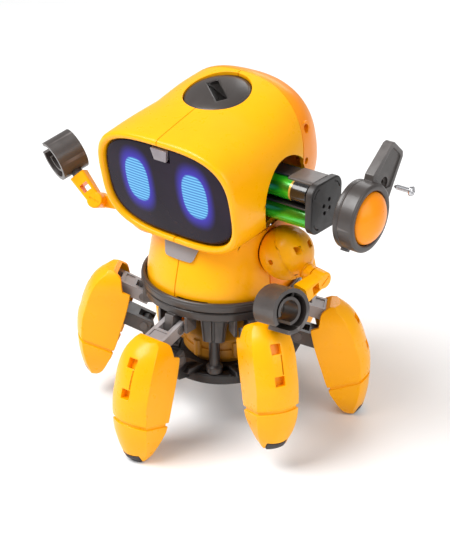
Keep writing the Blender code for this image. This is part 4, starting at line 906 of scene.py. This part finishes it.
def tray():
    y, z = EAR_CENTRE
    face = EAR_SEAT - 0.5 + CELL_TRAVEL
    rear = face - TRAY_LENGTH
    turn = shift(0, y, z) @ Matrix((Vector((0, 0, 1)), Vector((1, 0, 0)), Vector((0, 1, 0)))).to_4x4()
    line = rounded(TRAY_HALF, 6.0, 10)
    thin = rounded(TRAY_HALF - 0.5, 5.6, 10)
    block = loft([[(a, b, h) for a, b in outline] for outline, h in
                  ((line, face - 3.6), (line, face - 0.45), (thin, face))])
    adds = [prism([(-0.5, -11.8), (0.5, -11.8), (0.5, 11.8), (-0.5, 11.8)], rear + 1, face - 1),
            prism([(-11.0, -0.5), (11.0, -0.5), (11.0, 0.5), (-11.0, 0.5)], rear + 1, face - 1),
            prism(line, rear, rear + 3.0)]
    for side in (-1, 1):
        adds.append(prism([(-5.2, side * 11.35), (5.2, side * 11.35), (5.0, side * 12.4), (-5.0, side * 12.4)],
                          rear + 1, face - 1))
    cuts = [prism(circle(0.95, 24, spot), face - 2.0, face + 1) for spot in ((-2.4, 0.4), (2.0, 2.6),
                                                                             (2.4, -1.8), (-1.6, -3.4))]
    for sx in (-1, 1):
        for sy in (-1, 1):
            strip = arc_strip(4.4, 4.9, 100 if sy > 0 else 190, 170 if sy > 0 else 260, 12)
            bm = prism([(-sx * px, py) for px, py in strip], face - 0.45, face + 1)
            cuts.append(moved(bm, shift(sx * 5.6, sy * 5.6, 0)))
    body = moved(carve(block, cuts, adds), turn)
    # The tray is the dark plastic painted near black: painted shade.
    piece("tray_body", body, SHADOW, "battery_cassette", "battery_tray", bevel=0.28)
    strap = prism([(-7.2, 11.0), (7.2, 11.0), (7.2, 12.0), (5.6, 12.55), (-5.6, 12.55), (-7.2, 12.0)],
                  face - 17.5, face - 3.5)
    piece("tray_top_strap", moved(strap, turn), DARK, "battery_cassette", bevel=0.25)
    offset = CELL_RADIUS + 0.75
    start = face - 3.6 - GAP - CELL_LENGTH
    number = 0
    for dy in (-offset, offset):
        for dz in (offset, -offset):
            number += 1
            flip = number in (1, 4)
            axis = (1, 0, 0) if flip else (-1, 0, 0)
            spot = place_at((start if flip else start + CELL_LENGTH, y + dy, z + dz), axis)
            r, length = CELL_RADIUS, CELL_LENGTH
            sleeve = turned([(r - 0.7, 0.1), (r - 0.15, 0.12), (r, 0.35), (r, length - 1.25),
                             (r - 0.15, length - 1.0),
                             (r - 0.8, length - 0.95)], 64)
            piece(f"cell_{number}_sleeve", sleeve, SLEEVE, "battery_cassette", f"battery_{number}",
                  at=spot, bevel=0.0)
            button = turned([(1.9, length - 1.1), (1.9, length - 0.2), (1.7, length)], 32)
            piece(f"cell_{number}_button", button, SPRING, "battery_cassette", at=spot, bevel=0.0)


# ---- torso --------------------------------------------------------------------------------------
TORSO_WIDTH = [(76.0, 37.4), (79.8, 37.4), (92.0, 36.2), (104.0, 34.8), (128.0, 30.0)]
TORSO_FRONT = [(76.0, 37.4), (79.8, 37.4), (92.0, 35.0), (104.0, 31.5), (128.0, 24.0)]
TORSO_REAR = [(76.0, 37.4), (79.8, 37.4), (84.0, 41.5), (96.0, 44.0), (104.0, 44.5), (128.0, 36.0)]


def torso_point(degrees, height, inset):
    a = math.radians(degrees)
    c, s = math.cos(a), math.sin(a)
    width = curve(height, TORSO_WIDTH) - inset
    reach = curve(height, TORSO_FRONT if s < 0 else TORSO_REAR) - inset
    p = 2.0 / 2.05
    return Vector((width * signed(c, p), reach * signed(s, p), height))


def pod(side, swell=0.0, steps=48):
    x, y, z = SHOULDER
    rows = []
    for i in range(17):
        a = math.radians(-82 + 10.25 * i)
        rows.append(((13.2 + swell) * math.cos(a) ** 0.8, (12.4 + swell) * math.sin(a)))
    return turned(rows, steps, place_at((side * x, y, z), (side, 0, 0)))


def torso():
    angles = even_angles(0.0, 360.0, 96)[:-1]
    stations = (46.0, HEAD_FACE, 34, 28.0, 22.0, 16.0, 10.0, 4.0, -2.0, -8.0, HEAD_SPLIT, -20.0, -26.0, -32.0,
                -38.0, -43.0,
                HEAD_BACK)
    heights = [TORSO_BOTTOM, 77.2, 79.0, 79.8, 81, 82.5, 84, 86.0, 89, 92.0, 96, 100.0, 104.0, 108, 112.0, 116]

    def space():
        return moved(loft([[head_point(math.radians(a), s, -0.5) for a in angles] for s in stations]), HEAD)

    # The rear panel is the yellow plastic painted darker orange: painted shade.
    parts = (("torso_front_left", -89.75, -12.0, 34, YELLOW), ("torso_front_right", -168.0, -90.25, 34, YELLOW),
             ("torso_rear", -11.4, 191.4, 84, YELLOW_PAINTED_SHADE))
    for name, start, end, steps, colour in parts:
        angles_here = [start + (end - start) * i / steps for i in range(steps + 1)]
        loops = []
        for h in heights:
            outer = [torso_point(a, h, 0.0) for a in angles_here]
            loops.append(outer + [torso_point(a, h, TORSO_WALL) for a in reversed(angles_here)])
        cuts = [space(), pod(1, 0.5), pod(-1, 0.5)]
        if name == "torso_front_left":
            cuts.append(box((1.2, -42, 75), (17.5, -30, 78.6)))
        if name == "torso_rear":
            for i in range(-4, 5):
                for k in range(3):
                    spot = (i * 3.6 + (1.8 if k % 2 else 0.0), 50.0, 88.0 + 3.2 * k)
                    cuts.append(cylinder(1.0, spot, (spot[0], 38.0, spot[2]), 16))
        piece(f"{name}_panel", carve(loft(loops), cuts), colour, "torso", name, bevel=0.28, angle=40)
    loops = []
    for h, spread in ((97.5, 11.2), (98.0, 12.4), (99.0, 13.6), (105.0, 16.8), (112.0, 19.5)):
        turn = [-90 + spread * (i / 8 - 1) for i in range(17)]
        loops.append([torso_point(a, h, -1.5) for a in turn] + [torso_point(a, h,
                                                                            -0.35) for a in reversed(turn)])
    piece("chest_badge_plate", carve(loft(loops), [space()]), GREY, "torso", "chest_plate", bevel=0.3)


def turntable():
    low = FRAME_TOP + GAP
    r, top, wall = RING_RADIUS, RING_TOP, RING_WALL
    profile = [(3.0, low - 12.0), (5.6, low - 12.0), (5.6, low), (r - 1.2, low), (r - 0.3, low + 0.5),
               (r, low + 1.1),
               (r, top - 1.6), (r - 0.25, top - 1.4), (r - 0.25, top - 0.5), (r - 0.7, top),
               (r - wall + 0.4, top),
               (r - wall, top - 0.4), (r - wall, low + 1.7), (3.0, low + 1.7)]
    piece("turntable_dish", lathe(profile, 144), DARK, "torso", "turntable_ring", bevel=0.15)


# ---- arms ---------------------------------------------------------------------------------------
def limb(start, end, half_start, half_end, up):
    start, end = Vector(start), Vector(end)
    axis = (end - start).normalized()
    side = axis.cross(Vector(up)).normalized()
    top = side.cross(axis)
    loops = []
    for centre, (across, tall) in ((start, half_start), (end, half_end)):
        outline = rounded(across, 0.35 * min(across, tall), 5, tall)
        loops.append([centre + side * x + top * h for x, h in outline])
    return loft(loops)


def shoulder(label, side):
    x, y, z = SHOULDER
    ball = pod(side, 0.0, 64)
    cap = pod(side, 0.45, 64)
    rest = box((-60, -60, -60), (60, 60, 0.0), place_at((side * (x + 2.5), y + 1.5, z - 1.0),
                                                        (side * 0.8, 0.35, 0.55)))
    cap = carve(cap, [rest])
    cuts = []
    for dy, dz in ((-5.2, 6.5), (3.6, 6.8)):
        near, far = sorted((side * (x + 3.0), side * (x + 14.0)))
        cuts.append(box((near, y + dy - 1.6, z + dz - 1.6), (far, y + dy + 1.6, z + dz + 1.6)))
    cuts.append(cylinder(1.3, (side * x, y - 14, z), (side * x, y - 11, z), 24))
    body = carve(ball, cuts, [cap])
    piece(f"{label}_shoulder_pod", body, YELLOW, f"{label}_upper", f"{label}_shoulder", bevel=0.25)


def arm(label, side, elbow, hand, elbow_axis, hand_axis, mouth):
    shoulder_at = Vector((side * SHOULDER[0], SHOULDER[1], SHOULDER[2]))
    elbow, hand = Vector(elbow), Vector(hand)
    fore = (hand - elbow).normalized()
    axis = Vector(elbow_axis)
    axis = (axis - fore * axis.dot(fore)).normalized()
    hand = hand + axis * 2.6
    shoulder(label, side)
    reach = (elbow - shoulder_at).normalized()
    start = shoulder_at + reach * 14.2
    bar = limb(start - axis * 3.6, elbow - axis * 3.9, (2.5, 3.6), (2.5, 3.4), axis.cross(reach))
    root = cylinder(3.6, shoulder_at + reach * 11.0 - axis * 1.8, start + reach * 1.2 - axis * 2.2, 40)
    eye = cylinder(4.2, elbow - axis * 6.4, elbow - axis * 1.2, 48)
    upper = carve(bar, [cylinder(2.2, elbow - axis * 8, elbow + axis * 2, 32), pod(side, GAP + 0.2)],
                  [root, eye])
    piece(f"{label}_upper_bar", upper, YELLOW, f"{label}_upper", f"{label}_upper_arm", bevel=0.4)
    wrist = hand - fore * (HAND_RADIUS + 2.2)
    barrel = turned([(3.8, -0.9), (4.3, -0.5), (4.3, 5.4), (3.9, 5.9), (3.0, 6.0)], 48, place_at(elbow, axis))
    beam = limb(elbow + axis * 2.6 + fore * 1.0, wrist, (3.2, 3.6), (4.2, 4.4), axis.cross(fore))
    pin = cylinder(1.9, elbow - axis * 6.2, elbow + axis * 0.5, 32)
    middle = frame_at((elbow + axis * 1.2 + wrist) / 2, fore, axis.cross(fore), axis)
    window = box((-2.3, -2.3, -12), (2.3, 2.3, 12), middle)
    groove = frame_at(elbow + axis * 5.6, fore, axis.cross(fore), axis)
    slot = box((-3.0, -0.45, 0.0), (3.0, 0.45, 2.0), groove @ rotation(25, "Z"))
    piece(f"{label}_forearm_beam", carve(barrel, [window, slot], [beam, pin]), YELLOW, f"{label}_fore",
          f"{label}_forearm", bevel=0.4)
    gripper(label, hand, fore, wrist, Vector(hand_axis), mouth)


def gripper(label, centre, fore, wrist, axis, mouth):
    axis = (axis - fore * axis.dot(fore)).normalized()
    side = fore.cross(axis)
    place = frame_at(centre - axis * HAND_LENGTH / 2, side, fore, axis)
    aim, gap = 90.0 + mouth, 24.0
    outer, bore, deep = HAND_RADIUS, HAND_BORE, HAND_LENGTH
    jaw = prism(arc_strip(outer - 2.0, outer, aim + gap, aim + 360 - gap, 72), 0, deep)
    floor = prism(arc_strip(bore, outer - 1, aim + 27, aim + 333, 64), 0.4, 3.0)
    sleeve = prism(arc_strip(bore + 0.3, bore + 1.8, aim + 38, aim + 322, 64), 1.5, deep - 1.5)
    ribs = []
    for turn in (90, 180, 270):
        rib = box((bore + 1.2, -0.7, 1.5), (outer - 1.2, 0.7, deep - 4.5))
        ribs.append(moved(rib, rotation(aim + turn, "Z")))
    inverse = place.inverted()
    stem = cylinder(3.0, inverse @ (wrist + fore * 1.0), inverse @ (centre - fore * (outer - 1.4)), 40)
    body = carve(jaw, (), [floor, sleeve, stem] + ribs)
    piece(f"{label}_gripper", moved(body, place), DARK, f"{label}_grip", f"{label}_hand", bevel=0.35)


# ---- stage --------------------------------------------------------------------------------------
CAMERA_AZIMUTH, CAMERA_HEIGHT, CAMERA_DISTANCE = 38.0, 27.0, 700.0
CAMERA_TARGET, FOCAL_PIXELS, FRAME_LONG = (8.0, -7.5, 84.5), 1400.0, 535.0


def stage():
    bm = bmesh.new()
    bmesh.ops.create_grid(bm, x_segments=1, y_segments=1, size=6.0)
    mesh = bpy.data.meshes.new("floor")
    bm.to_mesh(mesh)
    bm.free()
    floor = bpy.data.objects.new("floor", mesh)
    scene.collection.objects.link(floor)
    n = Nodes("pale_floor")
    n.set(Base_Color=(0.93, 0.93, 0.93, 1.0))
    n.set(Roughness=0.9, Specular_IOR_Level=0.1)
    mesh.materials.append(n.material)
    world = scene.world or bpy.data.worlds.new("studio")
    scene.world = world
    world.use_nodes = True
    sky = world.node_tree.nodes["Background"]
    sky.inputs["Color"].default_value = (1.0, 1.0, 1.0, 1.0)
    sky.inputs["Strength"].default_value = 0.42
    for name, spot, size, power in (("key", (-0.35, -0.55, 1.0), 0.7, 15.0),
                                    ("fill", (0.9, -0.1, 0.6), 0.8, 4.5),
                                    ("rim", (-0.3, 0.9, 0.7), 0.6, 2.6)):
        light = bpy.data.lights.new(name, "AREA")
        light.size, light.energy = size, power
        lamp = bpy.data.objects.new(name, light)
        scene.collection.objects.link(lamp)
        lamp.location = spot
        lamp.rotation_euler = (Vector((0, 0, 0.09)) - Vector(spot)).to_track_quat("-Z", "Y").to_euler()
    scene.view_settings.view_transform = "Standard"
    camera = bpy.data.cameras.new("camera")
    camera.sensor_width = 36.0
    camera.lens = 36.0 * FOCAL_PIXELS / FRAME_LONG
    viewer = bpy.data.objects.new("camera", camera)
    scene.collection.objects.link(viewer)
    a, e = math.radians(CAMERA_AZIMUTH), math.radians(CAMERA_HEIGHT)
    back = Vector((math.sin(a) * math.cos(e), -math.cos(a) * math.cos(e), math.sin(e)))
    target = (Vector(CAMERA_TARGET) + Vector((*HUB_AT, 0.0))) * MM
    viewer.location = target + back * CAMERA_DISTANCE * MM
    viewer.rotation_euler = (-back).to_track_quat("-Z", "Y").to_euler()
    scene.camera = viewer


def main():
    base_frame()
    base_gearbox()
    base_plate()
    base_posts()
    legs()
    turntable()
    torso()
    head_shells()
    head_back()
    visor()
    crown()
    ears()
    screw()
    tray()
    arm("left", 1, LEFT_ELBOW, LEFT_HAND, (1, 0, 0), (1, -0.2, 0.25), 30.0)
    arm("right", -1, RIGHT_ELBOW, RIGHT_HAND, (0.33, -0.85, 0.41), (-0.45, -0.85, -0.2), 10.0)
    stage()


main()
